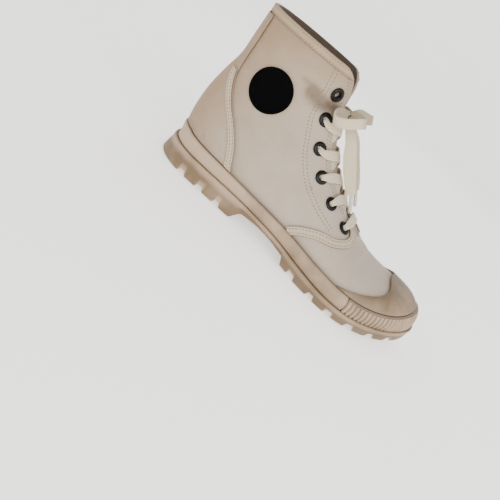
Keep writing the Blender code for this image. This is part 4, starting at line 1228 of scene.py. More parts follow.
# Stations of the foxing: share of the way from toe to heel, count up to the next
FOXING_STATIONS = ((BUMPER_SHARE + 0.0025, 80), (0.82, 44), (1.0, 0))
BUMPER_STATIONS = 60
# How the foxing browns towards the toe: places along, wear
FOXING_WEAR = ((80, 160), (0.0, 0.5))
BUMPER_SOIL = 0.6
BUMPER_WEAR = 0.35
# One rib: share of the foxing's height, swell
RIB_PROFILE = (
    (0.07, 0.35), (0.12, 0.8), (0.2, 1.0), (0.35, 1.0), (0.5, 1.0), (0.65, 1.0), (0.78, 1.0), (0.85, 0.8),
    (0.9, 0.35))
RIB_SEAT = 2.3
RIB_END_GAP = 0.006


def band_loops(half, profile):
    """Loops of a band round the foot, with the dirt in its joints."""
    loops = side_band(there_and_back(half), BAND_INNER, profile)
    return loops, band_soil(column((*BAND_INNER, *profile), 0), len(loops))


def foxing_mesh():
    loops, soil = band_loops(spaced(*FOXING_STATIONS), FOXING_PROFILE)
    return loft_mesh("foxing", loops, soil=soil, wear=np.interp(loops[..., 0], *FOXING_WEAR))


def bumper_mesh():
    loops, soil = band_loops(np.linspace(BUMPER_SHARE, 0.0, BUMPER_STATIONS), BUMPER_PROFILE)
    return loft_mesh("bumper", loops, soil=np.clip(soil + BUMPER_SOIL, 0, 1), wear=BUMPER_WEAR)


def rib_lines(pitch):
    """Lines up the bumper, one for each rib, with their swell."""
    length = arc_length(LAST.ring("lateral", 0)[2])[-1]
    count = int(BUMPER_SHARE * length / pitch)
    half = np.linspace(BUMPER_SHARE - RIB_END_GAP, 0.0, count)
    lines = [np.array([ring_point(side, level, share, RIB_SEAT) for level, _ in RIB_PROFILE])
             for side, share in there_and_back(half)]
    return lines, [np.array(column(RIB_PROFILE, 1))] * len(lines)


CAP_ROWS = 46
CAP_COLUMNS = 34
CAP_JOINT = 0.6             # how far the cap stops above the bumper's top
# The cap's rear edge is darker with dirt and painted shadow, and browner with wear.
CAP_EDGE_REACH = 0.06       # share of its length from the rear edge that is dirtier
CAP_EDGE_DIRT_AND_SHADE = 0.5
CAP_EDGE_WEAR = 0.3
CAP_WEAR = 0.75


def toe_cap_mesh():
    rows = np.linspace(0, 1, CAP_ROWS)
    down = 1 - np.linspace(1, 0, CAP_COLUMNS) ** 1.5
    rear = CAP_REAR + CAP_CREST * (1 - down ** 2) ** 4 + CAP_TAIL * down ** 5
    sections = rows[:, None] * rear
    halves = []
    for side, _ in SIDES:
        s, t, _ = LAST.ring(side, 1.0)
        low = np.interp(sections, s, t) - CAP_JOINT / LAST.length(side, sections)
        halves.append(LAST.at(side, sections, np.maximum(low, 0) * down, OVERLAY_GAP))
    lateral, medial = halves
    points = np.concatenate([lateral[:, :0:-1], medial], axis=1)
    # Near its rear edge the cap takes dirt and painted shadow, and more wear.
    edge = np.broadcast_to(fading(1 - rows[:, None], 1.0, CAP_EDGE_REACH), points.shape[:2])
    return grid_mesh("toe cap", points, soil=CAP_EDGE_DIRT_AND_SHADE * edge, wear=CAP_WEAR + CAP_EDGE_WEAR * edge)


def sole_section(shares, inset):
    halves = outline(inset)
    return along(halves["lateral"], shares), along(halves["medial"], shares)


# Outsole's side: inset, height as a share from the underside to the groove, rise
SOLE_PROFILE = (
    (7.0, 0.0, 0.0), (3.4, 0.0, 0.1), (1.7, 0.0, 0.8), (0.7, 0.0, 2.0), (0.3, 0.0, 3.4), (0.15, 0.6, 0.0),
    (0.15, 1.0, -2.9), (-0.2, 1.0, -2.2), (-0.35, 1.0, -1.4), (-0.1, 1.0, -0.5), (0.6, 1.0, -0.05),
    (1.6, 1.0, 0.0))
# Stations from toe to heel: share of the outline, count up to the next
SOLE_STATIONS = ((0.0015, 40), (0.16, 120), (0.86, 36), (0.9985, 0))
INSOLE_STATIONS = ((0.004, 24), (0.16, 60), (0.86, 20), (0.996, 0))
INSOLE_COLUMNS = 13
# How the sole darkens forwards: places along, share
SOLE_FORWARD = ((100, 165), (0, 1))
# Dirt of the sole, and wear of the bead along its top, whose pale colour is partly a painted
# highlight: at the heel, growth up to the forefoot
SOLE_SOIL = (0.12, 0.35)
BEAD_WEAR_AND_HIGHLIGHT = (0.3, 0.25)
SOLE_WEAR = 0.95
LUG_EDGE_WIDTH = 0.5
NOTCH_TAPER = 1.5
NOTCH_REACH = 80.0
NOTCH_DROP = 3.0


def outsole_loops():
    shares = spaced(*SOLE_STATIONS)
    columns = {"lateral": [], "medial": []}
    for inset, share, rise in SOLE_PROFILE:
        for side, xy in zip(columns, sole_section(shares, inset)):
            bottom, top = underside(xy[:, 0]), groove(xy[:, 0])
            xy[:, 0] -= HEEL_FLARE * (1 - share) * np.clip(1 - xy[:, 0] / HEEL_FLARE_REACH, 0, 1)
            columns[side].append(np.column_stack([xy, bottom + share * (top - bottom) + rise]))
    lateral, medial = (np.stack(columns[side], axis=1) for side in columns)
    bed = (lateral[:, -1:] + medial[:, -1:]) / 2
    tread = (lateral[:, :1] + medial[:, :1]) / 2
    return np.concatenate([lateral, bed, medial[:, ::-1], tread], axis=1)


def outsole_marks(loops):
    """Dirt and wear of the outsole, whose bead along the top stays lighter, partly as a painted highlight."""
    _, share, rise = (np.array([*values, values[-1], *values[::-1], 0.0])
                      for values in (column(SOLE_PROFILE, k) for k in range(3)))
    bead = (share == 1.0) & (rise < 0)
    forward = np.interp(loops[..., 0], *SOLE_FORWARD)
    soil, wear = (start + growth * forward for start, growth in (SOLE_SOIL, BEAD_WEAR_AND_HIGHLIGHT))
    # The bead is kept clean and pale: partly a painted highlight along its lip.
    return {"soil": np.where(bead, 0.0, soil), "wear": np.where(bead, wear, SOLE_WEAR)}


def notch_mesh(start, end):
    """Tapered bar across the sole between two lugs, following the tread's rise."""
    corners = ((start - NOTCH_TAPER, underside(start) - NOTCH_DROP),
               (end + NOTCH_TAPER, underside(end) - NOTCH_DROP),
               (end - NOTCH_TAPER, underside(end) + LUG_DEPTH),
               (start + NOTCH_TAPER, underside(start) + LUG_DEPTH))
    return loft_mesh("notch", [[(x, y, z) for x, z in corners] for y in (-NOTCH_REACH, NOTCH_REACH)])


def insole_mesh():
    lateral, medial = sole_section(spaced(*INSOLE_STATIONS), UPPER_INSET + WALL + INSOLE_CLEARANCE)
    across = np.linspace(0, 1, INSOLE_COLUMNS)
    flat = lateral[:, None] + (medial - lateral)[:, None] * across[:, None]
    height = groove(flat[..., 0]) + GAP + INSOLE_THICKNESS
    return grid_mesh("insole", np.concatenate([flat, height[..., None]], axis=2))


# ---------------------------------------------------------------- canvas parts

# Rows of the upper and the tongue: section, count up to the next
UPPER_STATIONS = (
    (0.0, 30), (4.0, 12), (5.0, 12), (THROAT_BASE, 8), (5.95, 8), (6.3, 86), (13.8, 24), (15.0, 14),
    (15.7, 8), (COLLAR, 0))
UPPER_COLUMNS = 70
EYELET_HOLE = 4.3
TONGUE_STATIONS = ((5.3, 50), (6.6, 60), (12.6, 0))
TONGUE_COLUMNS = 41
# Tongue's half width: section, arc from the ridge
TONGUE_WIDTHS = ((5.3, 12.0), (6.5, 19.0), (10.0, 27.0), (12.0, 28.0), (12.6, 22.0))
TONGUE_SWELL = 2.6
TONGUE_SWELL_ENDS = (6.15, 6.4)
TONGUE_SOIL = 0.1
TONGUE_WEAR = 0.4


def upper_mesh():
    sections = spaced(*UPPER_STATIONS)
    down = np.linspace(0, 1, UPPER_COLUMNS)
    edge = throat_edge(sections)
    halves, cloth = [], []
    for side, sign in SIDES:
        start = edge / LAST.length(side, sections)
        t = start[:, None] + (1 - start[:, None]) * down
        halves.append(LAST.at(side, sections[:, None], t))
        way = np.tile(arc_length(halves[-1][:, UPPER_COLUMNS // 2])[:, None], (1, UPPER_COLUMNS))
        cloth.append(np.stack([way, sign * t * LAST.length(side, sections)[:, None]], axis=-1))
    points = np.concatenate([halves[0][:, ::-1], halves[1]], axis=1)
    uv = np.concatenate([cloth[0][:, ::-1], cloth[1]], axis=1)
    middle = (points[:-1, :-1] + points[1:, 1:] + points[:-1, 1:] + points[1:, :-1]) / 4
    skip = np.zeros(middle.shape[:2], bool)
    skip[:, UPPER_COLUMNS - 1] = True
    for _, sign in SIDES:
        for s in eyelet_places():
            skip |= np.linalg.norm(middle - LAST.across(s, sign * eyelet_arc(s)), axis=-1) < EYELET_HOLE
    return grid_mesh("upper", points, uv, skip, soil=canvas_soil(points), wear=canvas_wear(points))


def tongue_mesh():
    sections = spaced(*TONGUE_STATIONS)
    half_width = smooth(column(TONGUE_WIDTHS, 0), column(TONGUE_WIDTHS, 1), sections)
    arcs = half_width[:, None] * np.linspace(-1, 1, TONGUE_COLUMNS)
    open_share = np.clip(1 - np.abs(arcs) / np.maximum(throat_edge(sections), 0.01)[:, None], 0, 1) ** 0.5
    swell = TONGUE_SWELL * open_share * np.interp(sections, TONGUE_SWELL_ENDS, (1, 0))[:, None]
    points = LAST.across(sections[:, None], arcs, swell - WALL - TONGUE_CLEARANCE)
    return grid_mesh("tongue", points, soil=TONGUE_SOIL, wear=TONGUE_WEAR)


def counter_route(side, level):
    """Places on the heel panel at one height above the foxing band, from the back seam to its front edge."""
    s, t, points = LAST.contour(side, lambda p: p[..., 2] - foxing_top(p[..., 0]), level)
    route = np.column_stack([points, s, t])[::-1]
    beyond = route[:, 0] - smooth(column(COUNTER_EDGE, 0), column(COUNTER_EDGE, 1), route[:, 2])
    k = np.argmax(beyond > 0)
    share = beyond[k - 1] / (beyond[k - 1] - beyond[k])
    return np.vstack([route[:k], route[k - 1] + share * (route[k] - route[k - 1])])


COUNTER_TOP = 116.5
COUNTER_COLUMNS = 36
# Rows up the heel panel: height above the foxing, count up to the next
COUNTER_STATIONS = ((0.9, 50), (70.0, 26), (COUNTER_TOP, 0))
COUNTER_LINE_FOOT = 1.2
COUNTER_LINE_POINTS = 60
COUNTER_TAPE_TOP = 66.0
COUNTER_TAPE_WIDTH = 8.4
COUNTER_TAPE_EDGE = 0.2     # how far behind the panel's front edge the tape starts
COUNTER_TAPE_GAP = 0.1
TAPE_COLUMNS = 21
TAPE_STATIONS = 64


def counter_mesh():
    halves = []
    for side, _ in SIDES:
        rows = np.array([along(counter_route(side, level), np.linspace(0, 1, COUNTER_COLUMNS))
                         for level in spaced(*COUNTER_STATIONS)])
        halves.append(LAST.at(side, rows[..., 3], rows[..., 4], OVERLAY_GAP))
    points = np.concatenate([halves[0][:, :0:-1], halves[1]], axis=1)
    return grid_mesh("heel counter", points, soil=canvas_soil(points), wear=canvas_wear(points))


def counter_line(side, behind, offset):
    """Line on the heel panel at a distance behind its front edge, from the foxing band to the tape's top."""
    line = []
    for level in np.linspace(COUNTER_LINE_FOOT, COUNTER_TAPE_TOP, COUNTER_LINE_POINTS):
        route = counter_route(side, level)
        length = arc_length(route[:, :3])
        at = np.clip(1 - behind / length[-1], 0, 1)
        s, t = along(route, at)[3:5]
        line.append(LAST.at(side, s, t, offset))
    return np.array(line)


def counter_tape_points(side):
    offset = OVERLAY_GAP + TAPE_THICKNESS + COUNTER_TAPE_GAP
    return np.stack([counter_line(side, behind, offset)
                     for behind in np.linspace(COUNTER_TAPE_EDGE, COUNTER_TAPE_WIDTH, TAPE_COLUMNS)], axis=1)


def tape_line(side):
    """Middle line of the tape round the quarter's lower edge and up to the throat, evenly spaced."""
    sign = dict(SIDES)[side]
    low = [LAST.at(side, *LAST.place(side, x, z)) for x, z in QUARTER_TAPE]
    turn = [LAST.across(s, sign * arc) for s, arc in QUARTER_TURN]
    return along(through(low + turn, 120), np.linspace(0, 1, TAPE_STATIONS))


def tape_points(side, edges, offset):
    """Ribbon of surface points along the quarter's lower edge."""
    line = tape_line(side)
    places = [LAST.nearest(side, point) for point in line]
    normals = np.array([LAST.normal(side, s, t) for s, t in places])
    sideways = unit(np.cross(normals, np.gradient(line, axis=0)))
    rows = []
    for point, way in zip(line, sideways):
        row = [LAST.nearest(side, point + edge * TAPE_WIDTH * way) for edge in edges]
        rows.append([LAST.at(side, s, t, offset) for s, t in row])
    return np.array(rows)


COLLAR_ROWS = (0.18, 0.72)
COLLAR_MARGIN = 1.5
COLLAR_WEAR = 0.8
COLLAR_RIDGE = SECTIONS[-1][SECTION_COLUMNS.index("z")]
COLLAR_COLUMNS = 60
# Rows of the collar band: first and last share of its height, count
COLLAR_RISES = (0, 0.97, 20)


def collar_points(side, rises, offset):
    """Rows round the top edge at shares of the band's height, from the facing's round corner to the back."""
    high = LAST.s[LAST.s >= HEEL_ROW]
    rows = []
    for rise in rises:
        height = COLLAR_BAND_FOOT + rise * (COLLAR_RIDGE - COLLAR_BAND_FOOT)
        s = np.full(COLLAR_COLUMNS, COLLAR, float)
        for _ in range(4):
            start = (throat_edge(s[0]) + COLLAR_MARGIN) / LAST.length(side, s)
            t = start + (1 - start) * np.linspace(0, 1, len(s))
            levels = LAST.at(side, high[:, None], t)[..., 2]
            s = np.array([np.interp(height, level, high) for level in levels.T])
        rows.append(LAST.at(side, s, t, offset))
    return np.array(rows)


def collar_mesh():
    lateral, medial = (collar_points(side, np.linspace(*COLLAR_RISES), GAP) for side, _ in SIDES)
    points = np.concatenate([lateral, medial[:, -2::-1]], axis=1)
    rises = np.linspace(0, 1, len(points))[:, None]
    # Dirt and painted shadow at the band's edges and along its rows of stitches.
    soil = np.broadcast_to(row_soil(rises, COLLAR_ROWS), points.shape[:2])
    return grid_mesh("collar band", points, soil=soil, wear=COLLAR_WEAR)


# Badge from its middle out and back under: share of the radius, height
BADGE_PROFILE = (
    (0.001, 1.75), (0.4, 1.75), (0.8, 1.75), (0.87, 1.8), (0.9, 2.15), (0.95, 2.2), (0.985, 2.0), (1.0, 1.5),
    (1.0, 0.35), (0.6, 0.35), (0.001, 0.35))


def badge_mesh():
    x, z = BADGE_CENTRE
    loops = []
    for angle in np.linspace(0, 2 * np.pi, 64, endpoint=False):
        loop = []
        for share, height in BADGE_PROFILE:
            reach = share * BADGE_RADIUS
            s, t = LAST.place("lateral", x + reach * np.cos(angle), z + reach * np.sin(angle))
            loop.append(LAST.at("lateral", s, t, height))
        loops.append(loop)
    loops = np.array(loops)
    for end in (0, -1):
        loops[:, end] = loops[:, end].mean(axis=0)
    return loft_mesh("badge", loops, round_trip=True)


# ---------------------------------------------------------------- stitching

# Rows of stitches: distance from the eyelets' line and from the facing's edge, or share across a tape
EYESTAY_ROWS = (12.0, 15.5)
FACING_ROWS = (3.2, 6.4)
TAPE_ROWS = (0.28, 0.72)
COUNTER_ROWS = (0.26, 0.68)
# Rows up the facing: first and last section, count of points
EYESTAY_SPAN = (6.6, 15.3, 120)
FACING_SPAN = (6.7, 15.5, 140)
# How the eyestay's rows close in on the upper eyelets: sections, distance
EYESTAY_CLOSER = 3.0
EYESTAY_CLOSING = (11.5, 15.0)
# The medial quarter tape gets less of the dirt and painted shadow than the lateral one.
HIDDEN_SIDE_DIRT_AND_SHADE = 0.35


def stitch_lines():
    """Every row of stitches, with the surface's normals."""
    rows = []

    def add(line):
        """Keep a row, given as a function of its height above the cloth."""
        low, high = line(0.0), line(1.0)
        rows.append((low, unit(high - low)))

    tape_top = OVERLAY_GAP + TAPE_THICKNESS
    counter_top = tape_top + TAPE_THICKNESS + COUNTER_TAPE_GAP
    for side, sign in SIDES:
        for place in TAPE_ROWS:
            add(lambda lift: tape_points(side, [place - 0.5], tape_top + lift)[:, 0])
        for rise in COLLAR_ROWS:
            add(lambda lift: collar_points(side, [rise], GAP + TAPE_THICKNESS + lift)[0])
        for place in COUNTER_ROWS:
            behind = COUNTER_TAPE_EDGE + place * (COUNTER_TAPE_WIDTH - COUNTER_TAPE_EDGE)
            add(lambda lift: counter_line(side, behind, counter_top + lift))
        s = np.linspace(*EYESTAY_SPAN)
        closer = EYESTAY_CLOSER * np.interp(s, EYESTAY_CLOSING, (0, 1))
        for beside in EYESTAY_ROWS:
            add(lambda lift: LAST.across(s, sign * (eyelet_arc(s) + beside - closer), lift))
        s = np.linspace(*FACING_SPAN)
        for beside in FACING_ROWS:
            add(lambda lift: LAST.across(s, sign * (throat_edge(s) + beside), lift))
    return [line for line, _ in rows], [normals for _, normals in rows]


# ---------------------------------------------------------------- eyelets

EYELET_TOP = EYELET_SEAT + EYELET_FLANGE_HEIGHT
# Eyelet's section: radius, height above the canvas
EYELET_PROFILE = (
    (EYELET_BORE_RADIUS, -WALL - 0.3), (EYELET_BORE_RADIUS, EYELET_TOP - 0.9),
    (EYELET_BORE_RADIUS + 0.2, EYELET_TOP - 0.35), (EYELET_BORE_RADIUS + 0.7, EYELET_TOP),
    (EYELET_BORE_RADIUS + 1.3, EYELET_TOP), (EYELET_FLANGE_RADIUS - 1.0, EYELET_TOP - 0.25),
    (EYELET_FLANGE_RADIUS - 0.25, EYELET_TOP - 0.7), (EYELET_FLANGE_RADIUS, EYELET_SEAT),
    (EYELET_FLANGE_RADIUS - 0.3, 0.15), (EYELET_BARREL_RADIUS, 0.15), (EYELET_BARREL_RADIUS, -WALL - 0.3))


def eyelet_shape():
    angles = np.linspace(0, 2 * np.pi, 28, endpoint=False)
    loops = [[(r * np.cos(a), r * np.sin(a), z) for r, z in EYELET_PROFILE] for a in angles]
    return loft_mesh("eyelet", np.array(loops) + CENTRE, round_trip=True)


def eyelet_points():
    """Where the eyelets sit, which way they face and which way is up the facing."""
    s, sign = (grid.ravel() for grid in np.meshgrid(eyelet_places(), (-1, 1)))
    arc = sign * eyelet_arc(s)
    points = LAST.across(s, arc)
    way = unit(LAST.across(s + 0.2, arc) - points)
    return [points], {"normal": [LAST.across_normal(s, arc)], "way": [way]}


# ---------------------------------------------------------------- laces

LACE_REST = EYELET_TOP + 0.3 + LACE_THICKNESS / 2
LACE_SOIL = 0.06
# How high each arm of a crossing lies over the throat, lateral and medial
ARM_LIFTS = (0.5, -0.9)
# Turn of lace round the knot: lean, half height, half depth, length of its cloth, dirt
KNOT_LEAN = 0.25
KNOT_TURN = (5.6, 4.2)
KNOT_CLOTH = 32
KNOT_SOIL = 0.1
# Lump inside the knot: half width, half height, half depth, dirt
CORE_HALF_WIDTH = 8.0
CORE_TURN = (4.6, 3.2)
CORE_SOIL = 0.2


def soft_oval():
    """Section of the flat lace, with soft edges: places across and up, from -1 to 1."""
    angle = np.linspace(0, 2 * np.pi, 18, endpoint=False)
    return [np.sign(way) * np.abs(way) ** power
            for way, power in ((np.cos(angle), 0.5), (np.sin(angle), 0.8))]


def ribbon_mesh(name, middle, normals, widths, soil=LACE_SOIL):
    """Flat lace along a middle line, with its dirt and painted shade, or those of each station."""
    direction = unit(np.gradient(middle, axis=0))
    sideways = unit(np.cross(direction, normals))
    up = unit(np.cross(sideways, direction))
    wide, high = soft_oval()
    half = np.broadcast_to(widths, len(middle))[:, None] / 2 * wide
    thick = LACE_THICKNESS / 2 * high[:, None] * up[:, None]
    loops = middle[:, None] + half[..., None] * sideways[:, None] + thick
    run = np.broadcast_to(arc_length(middle)[:, None], half.shape)
    dirt_and_shade = np.broadcast_to(np.broadcast_to(soil, len(middle))[:, None], half.shape)
    return loft_mesh(name, loops, uv=np.stack([half, run], axis=-1), soil=dirt_and_shade)


def surface_route(route, stations=60):
    """Middle line, normals and widths from (section, arc, height, width) points over the facings."""
    fine = through(route, 160)
    middle = LAST.across(fine[:, 0], fine[:, 1], fine[:, 2])
    picked = along(np.column_stack([middle, fine]), np.linspace(0, 1, stations))
    normals = LAST.across_normal(picked[:, 3], picked[:, 4])
    return picked[:, :3], normals, picked[:, 6]


def out_of_hole(hole, width):
    """Rows (arc, height, width) of a lace that comes up through an eyelet and lies down over its rim."""
    narrow = 2 * EYELET_BORE_RADIUS - 0.8
    return ((hole + 0.6, -4.0, narrow), (hole + 0.2, 0.4, narrow),
            (hole - 1.6, LACE_REST - 0.2, narrow + 0.5), (hole - 5.0, LACE_REST, width * 0.86))


def crossing_arm(low, high, sign, width, lift, fall):
    """One arm of a crossing: out of an eyelet, over the throat and under the other facing."""
    hole, edge = eyelet_arc(high), throat_edge(high)
    route = []
    for arc, height, wide in (
            *out_of_hole(hole, width), (edge + 4.0, LACE_REST - 0.3, width),
            (edge - 1.0, 1.5, width), (edge / 2, 0.9 + lift, width), (0.0, 0.4 + lift, width),
            (-edge / 2, -0.6 + lift, width), (-edge + 1.0, -1.6, width), (-edge - 4.0, -3.6, width)):
        down = np.clip((hole - arc) / (2 * hole), 0, None) ** fall
        route.append((high + (low - high) * down, sign * arc, height, wide))
    return surface_route(route)


def lace_run_meshes(width):
    """Lace through the eyelets: four crossings and the bar at the lowest pair."""
    places = eyelet_places()
    for k in range(EYELET_COUNT - 2):
        for (side, sign), lift in zip(SIDES, ARM_LIFTS):
            arm = crossing_arm(places[k], places[k + 1], sign, width, lift, LACE_FALL[k])
            yield f"lace_crossing_{EYELET_COUNT - 1 - k}", side, ribbon_mesh("lace arm", *arm)
    hole, edge = eyelet_arc(places[0]), throat_edge(places[0])
    half = (*out_of_hole(hole, width), (edge, 2.6, width), (0.0, 2.2, width))
    route = [(places[0], -arc, height, wide) for arc, height, wide in half]
    route += [(places[0], arc, height, wide) for arc, height, wide in half[-2::-1]]
    yield "lace_bar", "bar", ribbon_mesh("lace bar", *surface_route(route, 100))


def free_route(rows, sign, stations=64):
    """Middle line, normals and widths of a free stretch of lace on one side of the boot."""
    fine = through(np.array(rows) * (1, -sign, 1, 1, -sign, 1, 1), 200)
    picked = along(fine, np.linspace(0, 1, stations))
    return picked[:, :3], unit(picked[:, 3:6]), picked[:, 6]


def knot_axes():
    """Middle of the knot, and the ways out of the boot, to its medial side and up the throat."""
    out = LAST.across_normal(KNOT_SECTION, 0.0)
    side = np.array([0.0, 1.0, 0.0])
    return LAST.across(KNOT_SECTION, 0.0, KNOT_HEIGHT), out, side, np.cross(out, side)


def knot_mesh(width):
    """Turn of lace round the middle of the bow."""
    origin, out, side, up = knot_axes()
    angle = np.linspace(0, 2 * np.pi, 40, endpoint=False)
    way = unit(up + KNOT_LEAN * side)
    tall, deep = KNOT_TURN
    ring = origin + np.outer(np.cos(angle) * tall, way) + np.outer(np.sin(angle) * deep, out)
    face = np.outer(np.cos(angle), way) + np.outer(np.sin(angle), out)
    wide, high = soft_oval()
    flat = wide * width / 2
    thick = (high * LACE_THICKNESS / 2)[:, None] * face[:, None]
    loops = ring[:, None] + flat[:, None] * np.cross(out, way) + thick
    run = np.broadcast_to(np.linspace(0, KNOT_CLOTH, len(ring))[:, None], (len(ring), len(flat)))
    uv = np.stack([np.broadcast_to(flat, run.shape), run], axis=-1)
    return loft_mesh("knot", loops, uv=uv, soil=KNOT_SOIL, round_trip=True)


def knot_core_mesh():
    """Folded lace inside the turn, as one soft lump."""
    origin, out, side, up = knot_axes()
    theta = np.linspace(0, 2 * np.pi, 24, endpoint=False)
    phi = np.linspace(0.05, np.pi - 0.05, 14)
    tall, deep = CORE_TURN
    ring = np.outer(np.cos(theta) * tall, up) + np.outer(np.sin(theta) * deep, out)
    loops = [origin + np.cos(p) * CORE_HALF_WIDTH * side + np.sin(p) * ring for p in phi]
    uv = np.stack(np.meshgrid(phi * 6, theta * 4, indexing="ij"), axis=-1)
    return loft_mesh("knot core", loops, uv=uv, soil=CORE_SOIL)


AGLET_LENGTH = 15.0
AGLET_RADIUS = 1.6
AGLET_FILL = 1.7            # width of the lace inside an aglet, in radii of the aglet


def aglet_mesh(middle):
    """Clear tube round the tip of a lace end."""
    direction = unit(np.gradient(middle, axis=0))
    side = unit(np.cross(direction, (0.0, 0.0, 1.0)))
    up = np.cross(side, direction)
    angle = np.linspace(0, 2 * np.pi, 14, endpoint=False)
    swell = np.interp(np.linspace(0, 1, len(middle)), (0, 0.06, 0.94, 1), (0.75, 1, 1, 0.7))
    circle = np.cos(angle)[:, None] * side[:, None] + np.sin(angle)[:, None] * up[:, None]
    return loft_mesh("aglet", middle[:, None] + (swell * AGLET_RADIUS)[:, None, None] * circle)


# ---------------------------------------------------------------- add-on

class BootSizes(bpy.types.PropertyGroup):
    """Sizes a user would change."""

    lace_width: FloatProperty(
        name="Lace width", description="Width of the flat lace", default=8.6 * MM, unit="LENGTH", min=0.003)
    stitch_pitch: FloatProperty(
        name="Stitch pitch", description="Distance from stitch to stitch", default=2.9 * MM, unit="LENGTH",
        min=0.001)
    stitch_length: FloatProperty(
        name="Stitch length", description="Length of one stitch", default=1.9 * MM, unit="LENGTH", min=0.0005)
    stitch_width: FloatProperty(
        name="Stitch width", description="Width of the thread", default=0.85 * MM, unit="LENGTH", min=0.0002)
    rib_pitch: FloatProperty(
        name="Rib pitch", description="Distance from rib to rib on the toe bumper", default=3.6 * MM,
        unit="LENGTH", min=0.002)
    rib_radius: FloatProperty(
        name="Rib radius", description="Radius of the bumper's ribs", default=1.75 * MM, unit="LENGTH",
        min=0.0004)


def colour(name, description, code):
    return FloatVectorProperty(name=name, description=description, subtype="COLOR", size=3, min=0, max=1,
                               default=linear(code))


class BootColours(bpy.types.PropertyGroup):
    """Colours a user would change."""

    canvas: colour("Canvas", "Clean canvas", "#B3A595")
    canvas_shade: colour("Canvas, worn", "Patches of worn canvas", "#A1876A")
    tape: colour("Tape", "Stitched tapes and collar band", "#BDAB93")
    lace: colour("Lace", "Lace", "#D3C3A8")
    lace_shade: colour("Lace, worn", "Patches of worn lace", "#BFAD8C")
    # The lining's brown is darkened as painted shade for the hollow inside.
    lining: colour("Lining", "Inside of the upper", "#55463A")
    lining_shade: colour("Lining, worn", "Patches of worn lining", "#40352A")
    thread: colour("Thread", "Stitches", "#766552")
    rubber: colour("Rubber", "Sole, foxing and toe cap", "#AB947C")
    rubber_shade: colour("Rubber, stained", "Stained patches of rubber", "#6B563B")
    # One colour for dirt in joints and for painted shade in folds, at tape edges and on loops' far halves.
    dirt_and_shade: colour("Dirt", "Dirt in joints and folds", "#5F4F3E")
    eyelet: colour("Eyelets", "Enamel of the eyelets", "#050506")
    badge: colour("Badge", "Rubber of the badge", "#030304")
    aglet: colour("Aglets", "Clear tips of the lace", "#CFC8BC")
    floor: colour("Floor", "Studio floor", "#F7F6F4")


def flat_in_frame(points):
    return [tuple(p) for p in (points - CENTRE) * MM]


# Studio floor, from its middle out: radius and height in metres. It bends up far behind the boot.
FLOOR_PROFILE = (
    (0.4, 0.0), (1.2, 0.0), (2.4, 0.0), (3.0, 0.08), (3.6, 0.32), (4.1, 0.8), (4.4, 1.5), (4.5, 2.4))
FLOOR_GLOW = 1.0
WORLD_STRENGTH = 0.76
WORLD_COLOUR = (1.0, 0.985, 0.97, 1.0)
LIGHTS_AIM = (0.0, 0.0, 0.06)
# Soft boxes: name, place and size in metres, power in watts
LIGHTS = (
    ("key", (0.45, -1.1, 0.7), 0.7, 8.4),
    ("fill", (1.0, -0.65, 0.6), 1.0, 5.5),
    ("back", (0.1, 0.9, 0.9), 1.0, 3.0),
)


def turned(x, y, z, place):
    """Matrix of an object's axes and place."""
    turn = np.eye(4)
    turn[:3] = np.column_stack([x, y, z, place])
    return Matrix(turn.tolist())


class BOOT_OT_stage(bpy.types.Operator):
    """Pale floor, soft light and the photograph's camera"""

    bl_idname = "boot.stage"
    bl_label = "Stage"

    def execute(self, context):
        # Matt painted board: pale and even, with only the boot's soft shadow on it
        floor_look, _, _ = finish_of("Pale studio floor", {
            "Base Color": colour_of("floor"), "Roughness": 0.9, "Emission Color": colour_of("floor"),
            "Emission Strength": FLOOR_GLOW})
        angles = np.linspace(0, 2 * np.pi, 96, endpoint=False)
        rings = [[(r * np.cos(a), r * np.sin(a), z) for a in angles] for r, z in FLOOR_PROFILE]
        mesh = loft_mesh("floor", np.array(rings) / MM + CENTRE, open_end=True)
        mesh.materials.append(floor_look)
        floor = shown("floor", mesh)
        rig.stage(floor)
        world = context.scene.world or bpy.data.worlds.new("Studio")
        context.scene.world = world
        world.use_nodes = True
        glow = world.node_tree.nodes["Background"].inputs
        glow["Color"].default_value = WORLD_COLOUR
        glow["Strength"].default_value = WORLD_STRENGTH
        for name, place, size, power in LIGHTS:
            lamp = bpy.data.lights.new(name, "AREA")
            lamp.energy = power
            lamp.size = size
            way = unit(np.array(place) - LIGHTS_AIM)
            side = unit(np.cross((0.0, 0.0, 1.0), way))
            shown(name, lamp).matrix_world = turned(side, np.cross(way, side), way, place)
        self.add_camera(context)
        return {"FINISHED"}

    def add_camera(self, context):
        a, e, r = np.radians((CAMERA_TURN, CAMERA_RISE, CAMERA_ROLL))
        back = np.array([np.sin(a) * np.cos(e), -np.cos(a) * np.cos(e), np.sin(e)])
        right = np.array([np.cos(a), np.sin(a), 0.0])
        up = np.cross(back, right)
        data = bpy.data.cameras.new("camera")
        data.sensor_width = SENSOR_WIDTH
        data.lens = data.sensor_width * FOCAL_PIXELS / IMAGE_PIXELS
        data.clip_start = CLIP_START
        camera = shown("camera", data)
        camera.matrix_world = turned(np.cos(r) * right + np.sin(r) * up, -np.sin(r) * right + np.cos(r) * up,
                                     back, (np.array(CAMERA_PLACE) - CENTRE) * MM)
        context.scene.camera = camera


